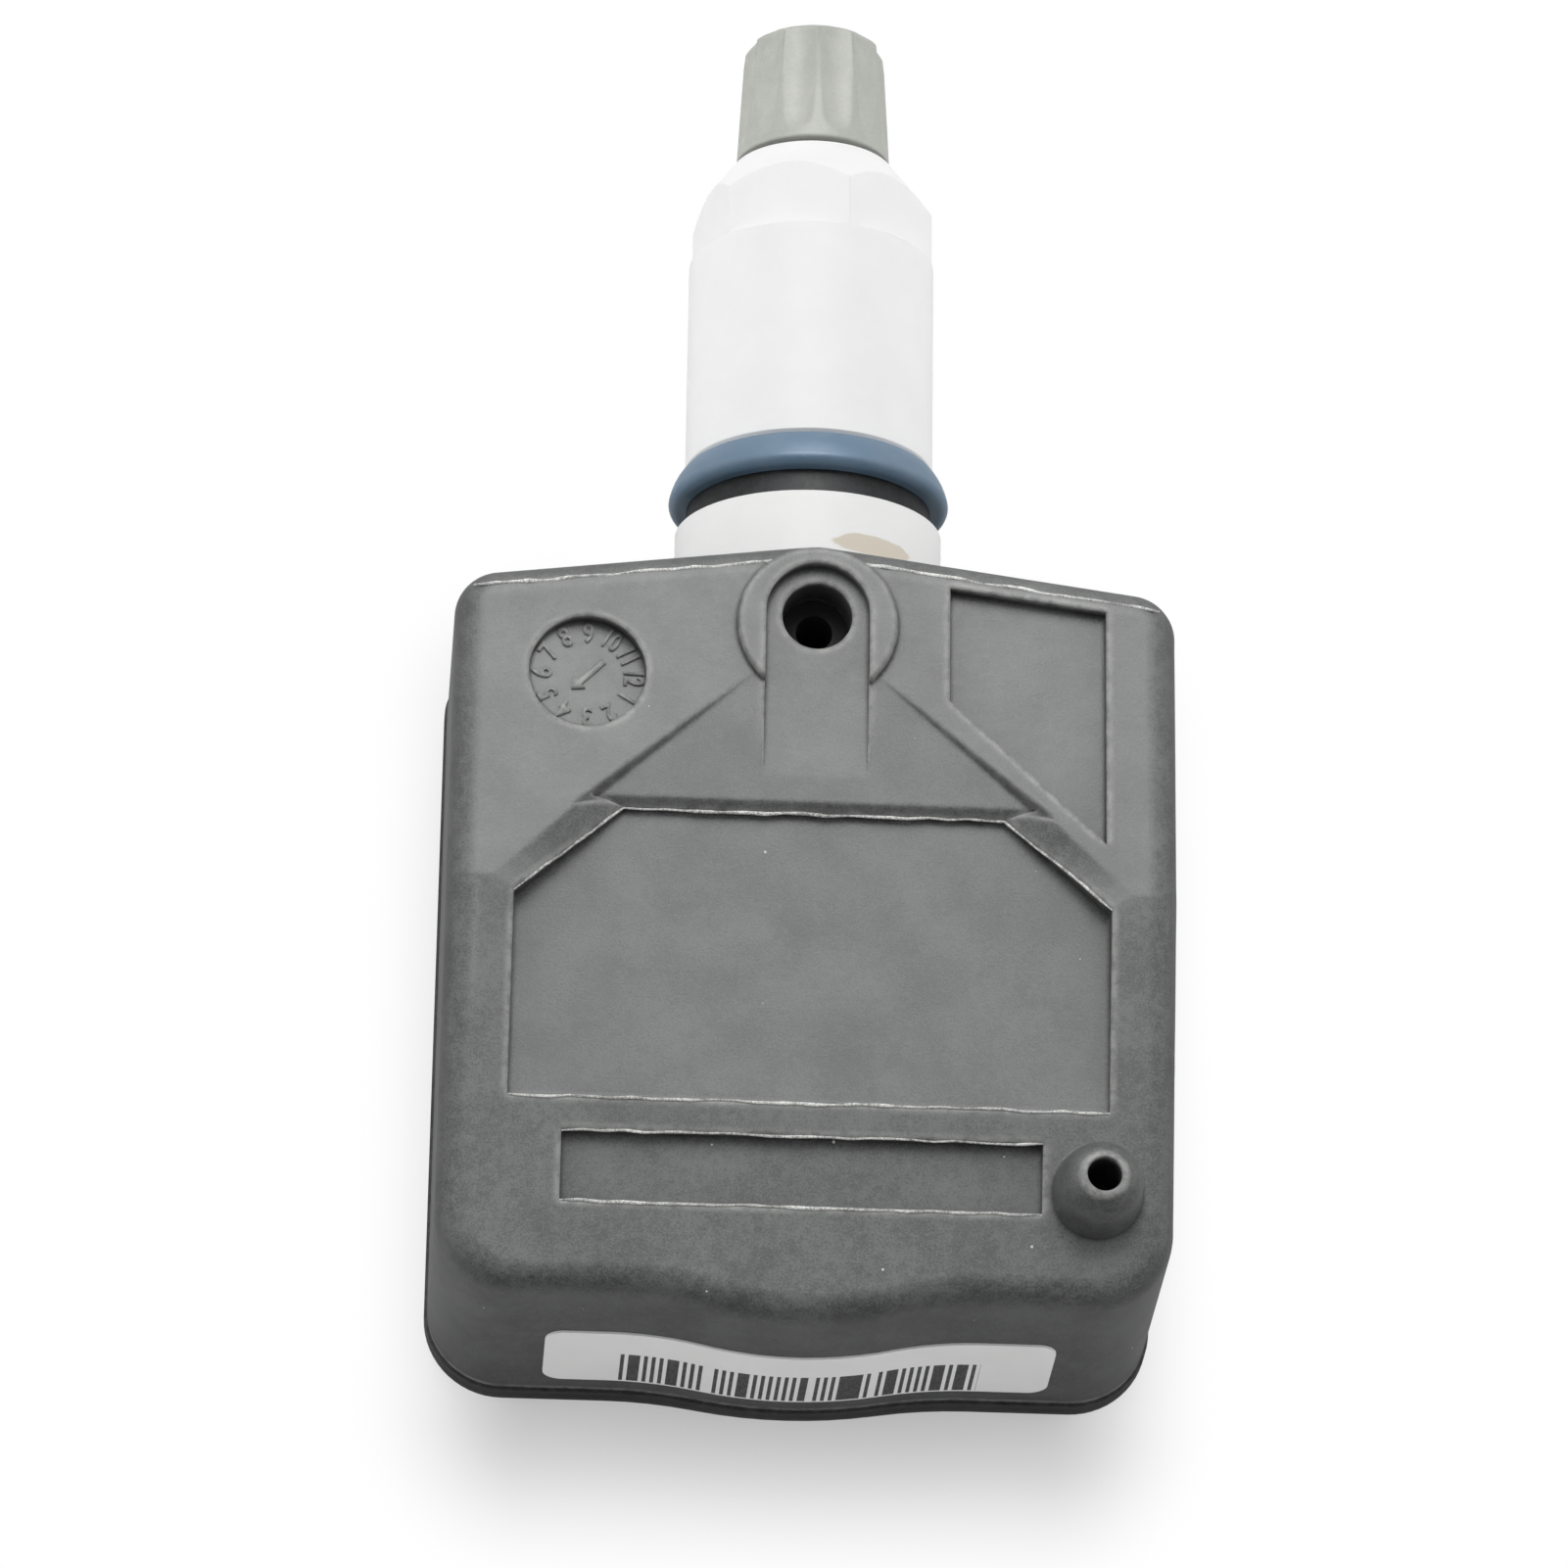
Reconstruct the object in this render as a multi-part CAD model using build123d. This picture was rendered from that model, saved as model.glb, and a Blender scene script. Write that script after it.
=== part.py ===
from build123d import *
import os
from math import atan, degrees, radians, tan

# Tyre pressure sensor with a clamp-in valve stem.
# Frame: the origin is on the stem axis, on the grommet face that seats on the wheel rim.
# +Y runs out along the stem to the cap, +Z points up from the base, +X to the right.
# Lengths are millimetres and angles are degrees.

# Housing, outside
housing_width = 39.3        # across the side walls, at the base
housing_length = 43.6       # middle of the rear wall to the flat of the front wall, at the base
stem_height = 9.4           # stem axis above the base
rear_height = 18.7          # base to the rear deck
rear_rise = 2.5             # the middle of the rear wall stands out this far past its corners
rear_crease_radius = 9.0
rear_corner_radius = 2.5
front_corner_radius = 4.2
side_draft = 0.5
rear_draft = 0.8
front_lean = 7.3
nose_width = 20.0           # soft bulge in the middle of the front wall
nose_reach = 0.8            # at the base
nose_lean = 1.7             # the bulge grows this much towards the top
nose_easing = 0.96          # share of the tangent radius, leaves a short straight between arcs
top_edge_radius = 1.7

# Housing, decks
shoulder_setback = 20.1     # middle of the rear wall to the line where the front deck begins to fall
shoulder_margin = 2.65      # side wall to the point where the ridge's diagonal meets that line
deck_slope = 8.6            # the front deck falls this much towards the front
ridge_setback = 15.35       # middle of the rear wall to the straight ridge
ridge_half = 12.0           # where the ridge turns into its two diagonals
ridge_foot_drop = 0.75      # rear deck down to the foot of the ridge
facet_setback = 8.2         # middle of the rear wall to the top of the sloped facet
facet_top_half = 2.7
facet_foot_half = 11.5
facet_drop = 0.4            # rear deck down to the ridge, at the foot of the facet
facet_flare = 45.0          # its sides lean out this much
band_overrun = 0.2          # the bands' cuts run on past the panel's edge by this share of their width

# Housing, features of the decks
outlet_setback = 4.7        # middle of the rear wall to the air outlet
outlet_diameter = 3.8
outlet_boss_diameter = 8.7
outlet_boss_shift = 0.6     # the boss sits this far in front of its hole
outlet_boss_height = 0.45
channel_width = 5.6
channel_depth = 0.32
dial_margin = 7.35          # left side wall to the dial's centre
dial_setback = 8.45
dial_diameter = 6.3
dial_depth = 0.5            # at its centre
dial_dip = 6.5              # its floor dips this many degrees
dial_dip_turn = 45.0        # the way it dips, from the rear to the right
pocket_width = 8.45
pocket_side_margin = 4.05   # right side wall to the pocket
pocket_margin = 2.0         # rear edge of the deck to the pocket
pocket_left_length = 6.5
pocket_right_length = 13.3
pocket_depth = 0.75
panel_side_margin = 3.75    # side wall to the panel
panel_corner_width = 5.7
panel_edge = 0.5            # ridge to the panel
panel_corner_length = 5.0
panel_rear_depth = 0.4      # below the foot of the ridge
panel_front_depth = 0.3     # below the front deck
slot_left_margin = 6.65     # side walls to the slot
slot_right_margin = 7.25
slot_front_margin = 4.1     # front wall to the slot
slot_gap = 1.75             # between the panel and the slot
slot_length = 3.7
slot_depth = 0.7
port_margin = 4.35          # right side wall to the port
port_gap = 4.25             # front end of the panel to the port
port_base_diameter = 5.0
port_shoulder_diameter = 4.5
port_height = 3.8
port_hole_diameter = 1.85

# Shell and base cover
wall = 1.6
roof = 1.7
base_thickness = 1.2
base_lip = 0.15             # the base cover stands out this far past the shell
tongue_height = 1.2
tongue_thickness = 1.0
assembly_gap = 0.05         # between pieces that push together
bonded_gap = 0.02           # between the stem and the plastic moulded round it
post_diameter = 2.6
peg_diameter = 1.4
post_inset = 1.9            # board edge to post centre

# Label on the front wall
label_width = 27.3
label_height = 6.5
label_top = 0.0             # height of the top edge against the stem axis
label_x = 0.3
label_corner_radius = 1.1
label_thickness = 0.12

# Valve stem
collar_diameter = 14.8
collar_show = 3.3           # collar standing out of the rear wall
collar_sunk = 2.3           # collar inside the rear wall
tail_diameter = 12.8
tail_length = 6.3
tail_wall = 1.8             # plastic round the tail
thread_diameter = 7.2
thread_depth = 0.35
thread_runout = 0.6         # plain length between the nut's end and the thread of the tip
pilot_diameter = 6.3
pilot_length = 2.0
tip_chamfer = 0.35
air_bore_diameter = 3.0
outlet_bore_diameter = 2.0
core_bore_diameter = 5.3

# Seal rings and nut
backing_length = 1.5
backing_diameter = 13.6
grommet_length = 2.1
grommet_diameter = 15.7     # at the collar end
grommet_end_diameter = 14.1 # at the rim seat
grommet_bulge = 0.2         # the side stands out this far past a plain cone
grommet_edge_radius = 0.5
ring_gap = 0.05             # radial gap of the rings and the nut on the stem
nut_diameter = 13.8         # round sleeve of the nut
nut_across_flats = 12.0
nut_length = 18.8
nut_flat_length = 6.05      # hexagon at the outer end
nut_end_diameter = 9.2
nut_cone_angle = 36.5
nut_foot_chamfer = 0.3
nut_turn_angle = 16.0       # one flat faces this far to the left of straight up

# Cap
cap_gap = 0.4               # nut's end to the cap's mouth
cap_length = 7.4
cap_mouth_diameter = 8.7
cap_end_diameter = 7.9
cap_end_wall = 0.9
cap_end_radius = 0.7
cap_thread_gap = 0.05
cap_pilot_gap = 0.1
flute_count = 12
flute_depth = 0.2           # at the cap's mouth
flute_end_depth = 0.45      # at its closed end
flute_radius = 2.1
flute_start = 0.8           # cap's mouth to the arched end of a flute
gasket_thickness = 0.7

# Valve core
core_head_length = 5.4
core_head_recess = 1.4      # stem's end to the head
core_gap = 0.05
core_seal_length = 1.3
core_sleeve_diameter = 3.5
core_sleeve_length = 6.7    # head to the sleeve's inner end
core_sleeve_bore = 2.6
core_guide_length = 1.6
core_lip_length = 1.0
pin_diameter = 1.4
pin_gap = 0.08
pin_show = 0.7              # pin standing out of the head
pin_collar_diameter = 2.3
pin_collar_length = 0.4
pin_travel = 1.2
pin_head_diameter = 2.6
pin_head_length = 0.6
pin_seal_diameter = 3.4
pin_seal_length = 1.0
spring_wire = 0.3
spring_turns = 6

# Electronics
board_side_gap = 0.75       # board to the side walls
board_front_gap = 1.1       # board to the front wall
board_rear_gap = 3.1        # board to the plastic round the stem's tail
board_thickness = 1.0
board_corner_radius = 1.6
battery_margin = 0.9        # front and rear edges of the board to the battery's side
battery_height = 5.0
battery_cap_inset = 1.45    # side of the can to the side of its smaller cap
battery_cap_height = 0.7
battery_edge_radius = 0.6
tab_thickness = 0.2
tab_width = 5.0
tab_stand_off = 0.5         # battery's side to the upright of a tab
board_over_battery = 2.4
package_chamfer = 0.18      # upper edges of the chips
sensor_size = 4.0
sensor_height = 1.8
port_seal_diameter = 3.4
chip_gap = 1.6              # between the control chip and the crystal
chip_setback = 3.3          # middle of the board to the chip's centre
transmitter_width = 6.4
transmitter_length = 5.0
transmitter_height = 1.5
crystal_width = 3.2
crystal_length = 5.0
crystal_height = 1.1
crystal_inset = 6.6         # right edge of the board to the crystal's centre
coil_length = 11.0
coil_size = 2.8
coil_flange = 1.2
coil_winding_size = 2.6
coil_core_size = 1.5
antenna_wire = 0.9
antenna_span = 12.4
antenna_roof_gap = 0.65     # wire to the underside of the front deck
antenna_bend_radius = 1.5
antenna_inset = 1.4
capacitor_count = 4
capacitor_length = 1.6
capacitor_width = 0.9
capacitor_pitch = 2.2
capacitor_gap = 4.6         # between the control chip and the capacitors

# Places along the stem
backing_y = -grommet_length - backing_length
rear_y = backing_y - collar_show
collar_y = rear_y - collar_sunk
tail_y = collar_y - tail_length
outlet_y = rear_y - outlet_setback
cap_y = nut_length + cap_gap
tip_y = cap_y + cap_length - cap_end_wall - gasket_thickness
thread_top_y = tip_y - pilot_length
thread_foot_y = nut_length - thread_runout
core_head_y = tip_y - core_head_recess
core_foot_y = core_head_y - core_head_length
core_seat_y = core_foot_y - core_seal_length
core_end_y = core_foot_y - core_sleeve_length
pin_top_y = core_head_y + pin_show
pin_collar_y = core_head_y - core_guide_length - pin_collar_length
pin_head_y = core_end_y - pin_seal_length - pin_head_length

# Places along the housing and heights
side_x = housing_width / 2
front_y = rear_y - housing_length
shoulder_y = rear_y - shoulder_setback
ridge_y = rear_y - ridge_setback
facet_y = rear_y - facet_setback
base_z = -stem_height
joint_z = base_z + base_thickness
deck_z = rear_height - stem_height
clear_z = rear_height       # a height above everything, for the cuts


def sloped_plane(y, z, fall):
    """Plane that is level across the stem, passes a place and height, and falls towards the front."""
    return Plane((0, y, z), x_dir=(1, 0, 0), z_dir=(0, -fall, 1))


def deck_height(y):
    """Height of the sloped front deck at a place along the stem."""
    return deck_z + (y - shoulder_y) * tan(radians(deck_slope))


def front_wall_y(z):
    """Place of the flat of the front wall at a height."""
    return front_y + (z - base_z) * tan(radians(front_lean))


# Places on the decks
dial_x = dial_margin - side_x
pocket_right = side_x - pocket_side_margin
pocket_left = pocket_right - pocket_width
panel_half = side_x - panel_side_margin
panel_rear_half = panel_half - panel_corner_width
panel_y = ridge_y - panel_edge
panel_corner_y = panel_y - panel_corner_length
slot_front_y = front_wall_y(deck_z) + slot_front_margin
slot_y = slot_front_y + slot_length
panel_front_y = slot_y + slot_gap
port_x = side_x - port_margin
port_y = panel_front_y - port_gap
ridge_foot_z = deck_z - ridge_foot_drop
panel_z = ridge_foot_z - panel_rear_depth
panel_fall = (panel_z - deck_height(panel_front_y) + panel_front_depth) / (panel_y - panel_front_y)
facet_fall = facet_drop / (facet_y - ridge_y)
ridge_fall = (ridge_foot_drop - facet_drop) / panel_edge

deck_plane = sloped_plane(shoulder_y, deck_z, tan(radians(deck_slope)))
panel_plane = sloped_plane(panel_y, panel_z, panel_fall)
facet_plane = sloped_plane(facet_y, deck_z, facet_fall)
ridge_plane = sloped_plane(panel_y, ridge_foot_z, ridge_fall)


def ceiling_height(y):
    """Height of the underside of the roof at a place along the stem."""
    under_panel = panel_z + (y - panel_y) * panel_fall - roof + panel_front_depth
    return min(deck_height(y) - roof, under_panel)


# Places inside the housing
board_width = 2 * (side_x - wall - board_side_gap)
board_front_y = front_wall_y(0) + wall + board_front_gap
board_length = tail_y - tail_wall - board_rear_gap - board_front_y
board_y = board_front_y + board_length / 2
battery_diameter = board_length - 2 * battery_margin
crystal_x = board_width / 2 - crystal_inset
chip_x = crystal_x - (crystal_width + transmitter_width) / 2 - chip_gap
capacitor_x = chip_x - (transmitter_width + capacitor_length) / 2 - capacitor_gap
battery_z = joint_z + tab_thickness
board_z = battery_z + battery_height + tab_thickness + board_over_battery
board_top = board_z + board_thickness


# Housing


def outline(z, grow=0.0):
    """Plan of the housing at a height, grown outwards by a wall or a lip."""
    rise = z - base_z
    half = side_x - rise * tan(radians(side_draft)) + grow
    rear = rear_y - rise * tan(radians(rear_draft)) + grow
    front = front_wall_y(z) - grow
    quarter = nose_width / 4
    reach = nose_reach + rise * tan(radians(nose_lean))
    bend = 2 * atan(reach / 2 / quarter)
    nose_radius = nose_easing * quarter / tan(bend / 2) / 2 * (1 + tan(bend / 2) ** 2)
    nose_foot = nose_width / 2 - nose_radius / nose_easing * tan(bend / 2)
    corners = [
        (0, rear),
        (-half, rear - rear_rise),
        (-half, front),
        (-nose_foot, front),
        (0, front - nose_foot * tan(bend)),
        (nose_foot, front),
        (half, front),
        (half, rear - rear_rise),
    ]
    rear_corner = max(rear_corner_radius + grow, 0.3)
    front_corner = max(front_corner_radius + grow, 0.3)
    radii = [rear_crease_radius, rear_corner, front_corner, nose_radius, nose_radius, nose_radius,
             front_corner, rear_corner]
    return Pos(0, 0, z) * make_face(FilletPolyline(*corners, radius=radii, close=True))


def prism(low, high, grow=0.0):
    """The housing's drafted block between two heights."""
    return loft([outline(low, grow), outline(high, grow)], ruled=True)


def top_face(block):
    """The highest face of a block."""
    return block.faces().sort_by(Axis.Z)[-1]


def deck_block():
    """Block under the level rear deck and the sloped front deck, with its rounded top edge."""
    block = split(prism(joint_z, deck_z), bisect_by=deck_plane, keep=Keep.BOTTOM)
    decks = block.faces().sort_by(Axis.Z)[-2:]
    shoulder = Vector(0, shoulder_y, deck_z)
    rim = decks.edges().filter_by(lambda edge: (edge.center() - shoulder).length > wall)
    return fillet(rim, radius=top_edge_radius)


def band_corners(side):
    """Ends of a diagonal of the ridge, and below them the ends of a line just inside the panel's edge."""
    ridge_end = Vector(side * ridge_half, ridge_y, deck_z)
    shoulder = Vector(side * (side_x - shoulder_margin), shoulder_y, deck_z)
    foot = Vector(side * panel_rear_half, panel_y, ridge_foot_z)
    corner = Vector(side * panel_half, panel_corner_y, deck_height(panel_corner_y))
    foot += (foot - ridge_end) * band_overrun
    corner += (corner - shoulder) * band_overrun
    return ridge_end, shoulder, foot, corner


def band_cut(side):
    """Space above the twisted band that falls from a diagonal of the ridge to the panel."""
    ridge_end, shoulder, foot, corner = band_corners(side)
    band = Face.make_bezier_surface([[ridge_end, shoulder], [foot, corner]])
    return Solid.extrude(band, Vector(0, 0, clear_z))


def ridge_cut():
    """Space above the sloped front face of the straight ridge."""
    _, _, foot, _ = band_corners(1)
    plan = make_face(Polyline((-ridge_half, ridge_y), (-foot.X, foot.Y), (foot.X, foot.Y),
                              (ridge_half, ridge_y), close=True))
    return split(extrude(plan, amount=clear_z), bisect_by=ridge_plane, keep=Keep.TOP)


def facet_cut():
    """Space above the sloped facet between the air outlet and the ridge, with flared sides."""
    foot_y = ridge_y - panel_edge / 2
    grow = (facet_foot_half - facet_top_half) / (facet_y - ridge_y)
    foot_half = facet_foot_half + grow * panel_edge / 2
    plan = make_face(Polyline((-facet_top_half, facet_y), (-foot_half, foot_y), (foot_half, foot_y),
                              (facet_top_half, facet_y), close=True))
    space = Pos(0, 0, deck_z - facet_drop) * extrude(plan, amount=2 * facet_drop, taper=-facet_flare)
    return split(space, bisect_by=facet_plane, keep=Keep.TOP)


def dial_recess():
    """Round recess of the date dial, about the middle of its floor, which dips to one side."""
    column = extrude(Circle(dial_diameter / 2), amount=2 * dial_depth, both=True)
    above = Box(2 * dial_diameter, 2 * dial_diameter, 4 * dial_depth, align=(Align.CENTER, Align.CENTER, Align.MIN))
    return column & (Rot(0, 0, -dial_dip_turn) * Rot(-dial_dip, 0, 0) * above)


def rear_recess(plan, depth):
    """A recess in the rear deck."""
    return Pos(0, 0, deck_z - depth) * extrude(plan, amount=clear_z)


def outlet_boss():
    """Round boss at the air outlet, trimmed by the rear wall."""
    boss_y = outlet_y - outlet_boss_shift
    boss = Pos(0, boss_y, 0) * extrude(Circle(outlet_boss_diameter / 2), amount=deck_z + outlet_boss_height)
    boss = fillet(top_face(boss).edges(), radius=outlet_boss_height / 2)
    return boss & prism(joint_z, deck_z + 2 * outlet_boss_height)


def outlet_cut():
    """Open channel that runs forward from the air outlet, and the outlet's hole."""
    floor_z = deck_z - channel_depth
    length = outlet_y - ridge_y
    plan = Pos(0, outlet_y) * Circle(channel_width / 2)
    plan += Pos(0, outlet_y - length / 2) * Rectangle(channel_width, length)
    channel = Pos(0, 0, floor_z) * extrude(plan, amount=clear_z)
    hole = Pos(0, outlet_y, 0) * extrude(Circle(outlet_diameter / 2), amount=clear_z)
    return channel + hole


def pocket_cut():
    """Four-sided pocket in the right of the rear deck, cut off along the ridge's diagonal."""
    slope = rear_rise / side_x
    left_y = rear_y - slope * pocket_left - pocket_margin
    right_y = rear_y - slope * pocket_right - pocket_margin
    plan = make_face(Polyline((pocket_left, left_y), (pocket_right, right_y),
                              (pocket_right, right_y - pocket_right_length),
                              (pocket_left, left_y - pocket_left_length), close=True))
    return rear_recess(plan, pocket_depth)


def panel_cut():
    """Shallow six-sided panel on the front deck, a little flatter than the deck."""
    half_plan = [(panel_rear_half, panel_y), (panel_half, panel_corner_y), (panel_half, panel_front_y)]
    mirrored = [(-x, y) for x, y in reversed(half_plan)]
    plan = make_face(Polyline(*half_plan, *mirrored, close=True))
    return split(extrude(plan, amount=clear_z), bisect_by=panel_plane, keep=Keep.TOP)


def slot_cut():
    """Narrow recess in front of the panel, its floor parallel to the deck."""
    width = housing_width - slot_left_margin - slot_right_margin
    centre = Pos((slot_left_margin - slot_right_margin) / 2, slot_y - slot_length / 2)
    plan = centre * Rectangle(width, slot_length)
    return split(extrude(plan, amount=clear_z), bisect_by=deck_plane.offset(-slot_depth), keep=Keep.TOP)


def port_nipple():
    """Domed nipple over the pressure port."""
    foot_z = deck_height(port_y) - roof / 2
    top_z = deck_height(port_y) + port_height
    shoulder = port_shoulder_diameter / 2
    side = Polyline((0, top_z), (0, foot_z), (port_base_diameter / 2, foot_z), (shoulder, top_z - shoulder))
    dome = TangentArc((shoulder, top_z - shoulder), (0, top_z), tangent=(0, 1))
    profile = Plane.XZ * make_face(Curve() + side + dome)
    return Pos(port_x, port_y, 0) * revolve(profile, axis=Axis.Z)


def stem_block_size():
    """Half width and front end of the plastic round the stem's tail."""
    return tail_diameter / 2 + tail_wall, tail_y - tail_wall


def stem_block(gap=0.0):
    """Space that the plastic round the stem's tail takes up in the shell."""
    half, front = stem_block_size()
    length = rear_y - front + gap
    centre = Pos(0, front - gap + length / 2, 0)
    return centre * Box(2 * (half + gap), length, 4 * rear_height)


def cavity():
    """Inside of the shell, open below."""
    space = prism(base_z, deck_z, -wall)
    for plane in (deck_plane.offset(-roof), panel_plane.offset(panel_front_depth - roof)):
        space = split(space, bisect_by=plane, keep=Keep.BOTTOM)
    return space - stem_block()


def along_stem(radius, low, high):
    """A cylinder on the stem axis between two places."""
    return extrude(Plane((0, low, 0), x_dir=(1, 0, 0), z_dir=(0, 1, 0)) * Circle(radius), amount=high - low)


def housing():
    """Moulded shell with its decks, recesses, outlet and port."""
    shell = deck_block() - band_cut(-1) - band_cut(1) - ridge_cut() - facet_cut()
    shell += outlet_boss()
    shell -= outlet_cut()
    shell -= Pos(dial_x, rear_y - dial_setback, deck_z - dial_depth) * dial_recess()
    shell -= pocket_cut()
    shell -= panel_cut()
    shell -= slot_cut()
    shell += port_nipple()
    shell -= cavity()
    shell -= Pos(port_x, port_y, 0) * extrude(Circle(port_hole_diameter / 2), amount=clear_z)
    shell -= along_stem(tail_diameter / 2 + bonded_gap, tail_y - bonded_gap, rear_y)
    shell -= along_stem(collar_diameter / 2 + bonded_gap, collar_y - bonded_gap, 0)
    return shell


def post_places():
    """Plan places of the four board posts."""
    x = board_width / 2 - post_inset
    y = board_length / 2 - post_inset
    return [(sx * x, board_y + sy * y) for sx in (-1, 1) for sy in (-1, 1)]


def base_cover():
    """Plate that closes the shell, with a tongue inside its walls and posts for the board."""
    plate = prism(base_z, joint_z, base_lip)
    inner = -wall - assembly_gap
    tongue = prism(joint_z, joint_z + tongue_height, inner)
    tongue -= prism(joint_z, joint_z + tongue_height, inner - tongue_thickness)
    tongue -= stem_block(assembly_gap)
    cover = plate + tongue
    for x, y in post_places():
        cover += Pos(x, y, joint_z) * extrude(Circle(post_diameter / 2), amount=board_z - joint_z)
        cover += Pos(x, y, board_z) * extrude(Circle(peg_diameter / 2), amount=board_thickness)
    return cover


def barcode_label():
    """Thin label that follows the front wall and its bulge."""
    low = label_top - label_height
    skin = prism(low, label_top, label_thickness) - prism(low, label_top)
    plan = RectangleRounded(label_width, label_height, label_corner_radius)
    face = Plane((label_x, 0, low + label_height / 2), x_dir=(1, 0, 0), z_dir=(0, -1, 0)) * plan
    reach = Pos(0, board_y, 0) * extrude(face, amount=housing_length)
    return skin & reach


# Valve stem, rings, nut and cap


def turned(points):
    """A body turned about the stem axis from radius and place pairs."""
    return revolve(make_face(Polyline(*points, close=True)), axis=Axis.Y)


def valve_stem():
    """Turned stem with tail, collar, threaded tip and air passage."""
    tail = tail_diameter / 2
    collar = collar_diameter / 2
    crest = thread_diameter / 2
    root = crest - thread_depth
    pilot = pilot_diameter / 2
    core = core_bore_diameter / 2
    air = air_bore_diameter / 2
    air_end_y = outlet_y - outlet_bore_diameter
    sleeve = core_sleeve_diameter / 2 + pin_gap + core_gap
    room_y = pin_head_y - pin_travel - pin_head_length
    stem = turned([
        (0, tail_y), (tail, tail_y), (tail, collar_y), (collar, collar_y), (collar, backing_y),
        (crest, backing_y), (crest, thread_foot_y), (root, thread_foot_y), (root, thread_top_y),
        (pilot, thread_top_y), (pilot, tip_y - tip_chamfer), (pilot - tip_chamfer, tip_y), (core, tip_y),
        (core, core_seat_y), (sleeve, core_seat_y), (sleeve, room_y), (air, room_y), (air, air_end_y),
        (0, air_end_y),
    ])
    return stem - Pos(0, outlet_y, 0) * extrude(Circle(outlet_bore_diameter / 2), amount=tail)


def ring_bore():
    """Bore radius of the rings and the nut on the stem."""
    return thread_diameter / 2 + ring_gap


def backing_ring():
    """Stiff ring between the stem's collar and the grommet."""
    outer = backing_diameter / 2
    return turned([(ring_bore(), backing_y), (outer, backing_y), (outer, -grommet_length),
                   (ring_bore(), -grommet_length)])


def rim_grommet():
    """Rubber ring that widens towards the collar, with a bulged side."""
    outer = grommet_diameter / 2
    end = grommet_end_diameter / 2
    bulge = ((outer + end) / 2 + grommet_bulge, -grommet_length / 2)
    side = ThreePointArc((end, 0), bulge, (outer, -grommet_length))
    rest = Polyline((outer, -grommet_length), (ring_bore(), -grommet_length), (ring_bore(), 0), (end, 0))
    ring = revolve(make_face(Curve() + side + rest), axis=Axis.Y)
    rims = ring.edges().filter_by(GeomType.CIRCLE).filter_by(lambda edge: edge.radius > (outer + end) / 2)
    return fillet(rims, radius=grommet_edge_radius)


def hex_nut():
    """Sleeve nut: round below, with a hexagon and a conical end for the spanner."""
    sleeve = nut_diameter / 2
    end = nut_end_diameter / 2
    cone_length = (sleeve - end) / tan(radians(nut_cone_angle))
    blank = turned([
        (ring_bore(), 0), (sleeve - nut_foot_chamfer, 0), (sleeve, nut_foot_chamfer),
        (sleeve, nut_length - cone_length), (end, nut_length), (ring_bore(), nut_length),
    ])
    section = Circle(nut_diameter) - RegularPolygon(
        nut_across_flats / 2, 6, major_radius=False, rotation=-nut_turn_angle)
    flats_plane = Plane((0, nut_length - nut_flat_length, 0), x_dir=(1, 0, 0), z_dir=(0, 1, 0))
    return blank - extrude(flats_plane * section, amount=nut_length)


def cap_radius(y):
    """Radius over the cap's ridges at a place along the stem."""
    share = (y - cap_y) / cap_length
    return (cap_mouth_diameter + (cap_end_diameter - cap_mouth_diameter) * share) / 2


def valve_cap():
    """Fluted cap with a threaded bore and a pocket for its gasket."""
    end_y = cap_y + cap_length
    bore = thread_diameter / 2 + cap_thread_gap
    pilot = pilot_diameter / 2 + cap_pilot_gap
    body = turned([
        (bore, cap_y), (cap_radius(cap_y), cap_y), (cap_radius(end_y), end_y), (0, end_y),
        (0, end_y - cap_end_wall), (pilot, end_y - cap_end_wall), (pilot, thread_top_y), (bore, thread_top_y),
    ])
    rim = body.edges().filter_by(GeomType.CIRCLE).sort_by(Axis.Y)[-1]
    body = fillet(rim, radius=cap_end_radius)
    arch_reach = (2 * flute_radius * flute_depth) ** 0.5
    start_y = cap_y + flute_start + arch_reach
    fall = (cap_mouth_diameter - cap_end_diameter) / 2 + flute_end_depth - flute_depth
    lean = degrees(atan(fall / cap_length))
    floor = cap_mouth_diameter / 2 - flute_depth - fall * (start_y - cap_y) / cap_length
    groove = extrude(Plane.XZ * Circle(flute_radius), amount=-2 * cap_length) + Sphere(flute_radius)
    groove = Pos(floor + flute_radius, start_y, 0) * Rot(0, 0, lean) * groove
    for index in range(flute_count):
        body -= Rot(0, 90 + (index + 0.5) * 360 / flute_count, 0) * groove
    return body


def cap_gasket():
    """Seal disc in the closed end of the cap."""
    return along_stem(pilot_diameter / 2, tip_y, tip_y + gasket_thickness)


# Valve core


def core_barrel():
    """Body of the valve core: a threaded head and a sleeve that holds the spring."""
    head = core_bore_diameter / 2 - core_gap
    sleeve = core_sleeve_diameter / 2
    guide = pin_diameter / 2 + pin_gap
    bore = core_sleeve_bore / 2
    guide_y = core_head_y - core_guide_length
    lip_y = core_end_y + core_lip_length
    return turned([
        (guide, core_head_y), (head, core_head_y), (head, core_foot_y), (sleeve, core_foot_y),
        (sleeve, core_end_y), (guide, core_end_y), (guide, lip_y), (bore, lip_y), (bore, guide_y),
        (guide, guide_y),
    ])


def core_seal():
    """Ring that seals the barrel on its seat in the stem."""
    inner = core_sleeve_diameter / 2 + core_gap
    outer = core_bore_diameter / 2 - core_gap
    return turned([(inner, core_seat_y), (outer, core_seat_y), (outer, core_foot_y), (inner, core_foot_y)])


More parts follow.
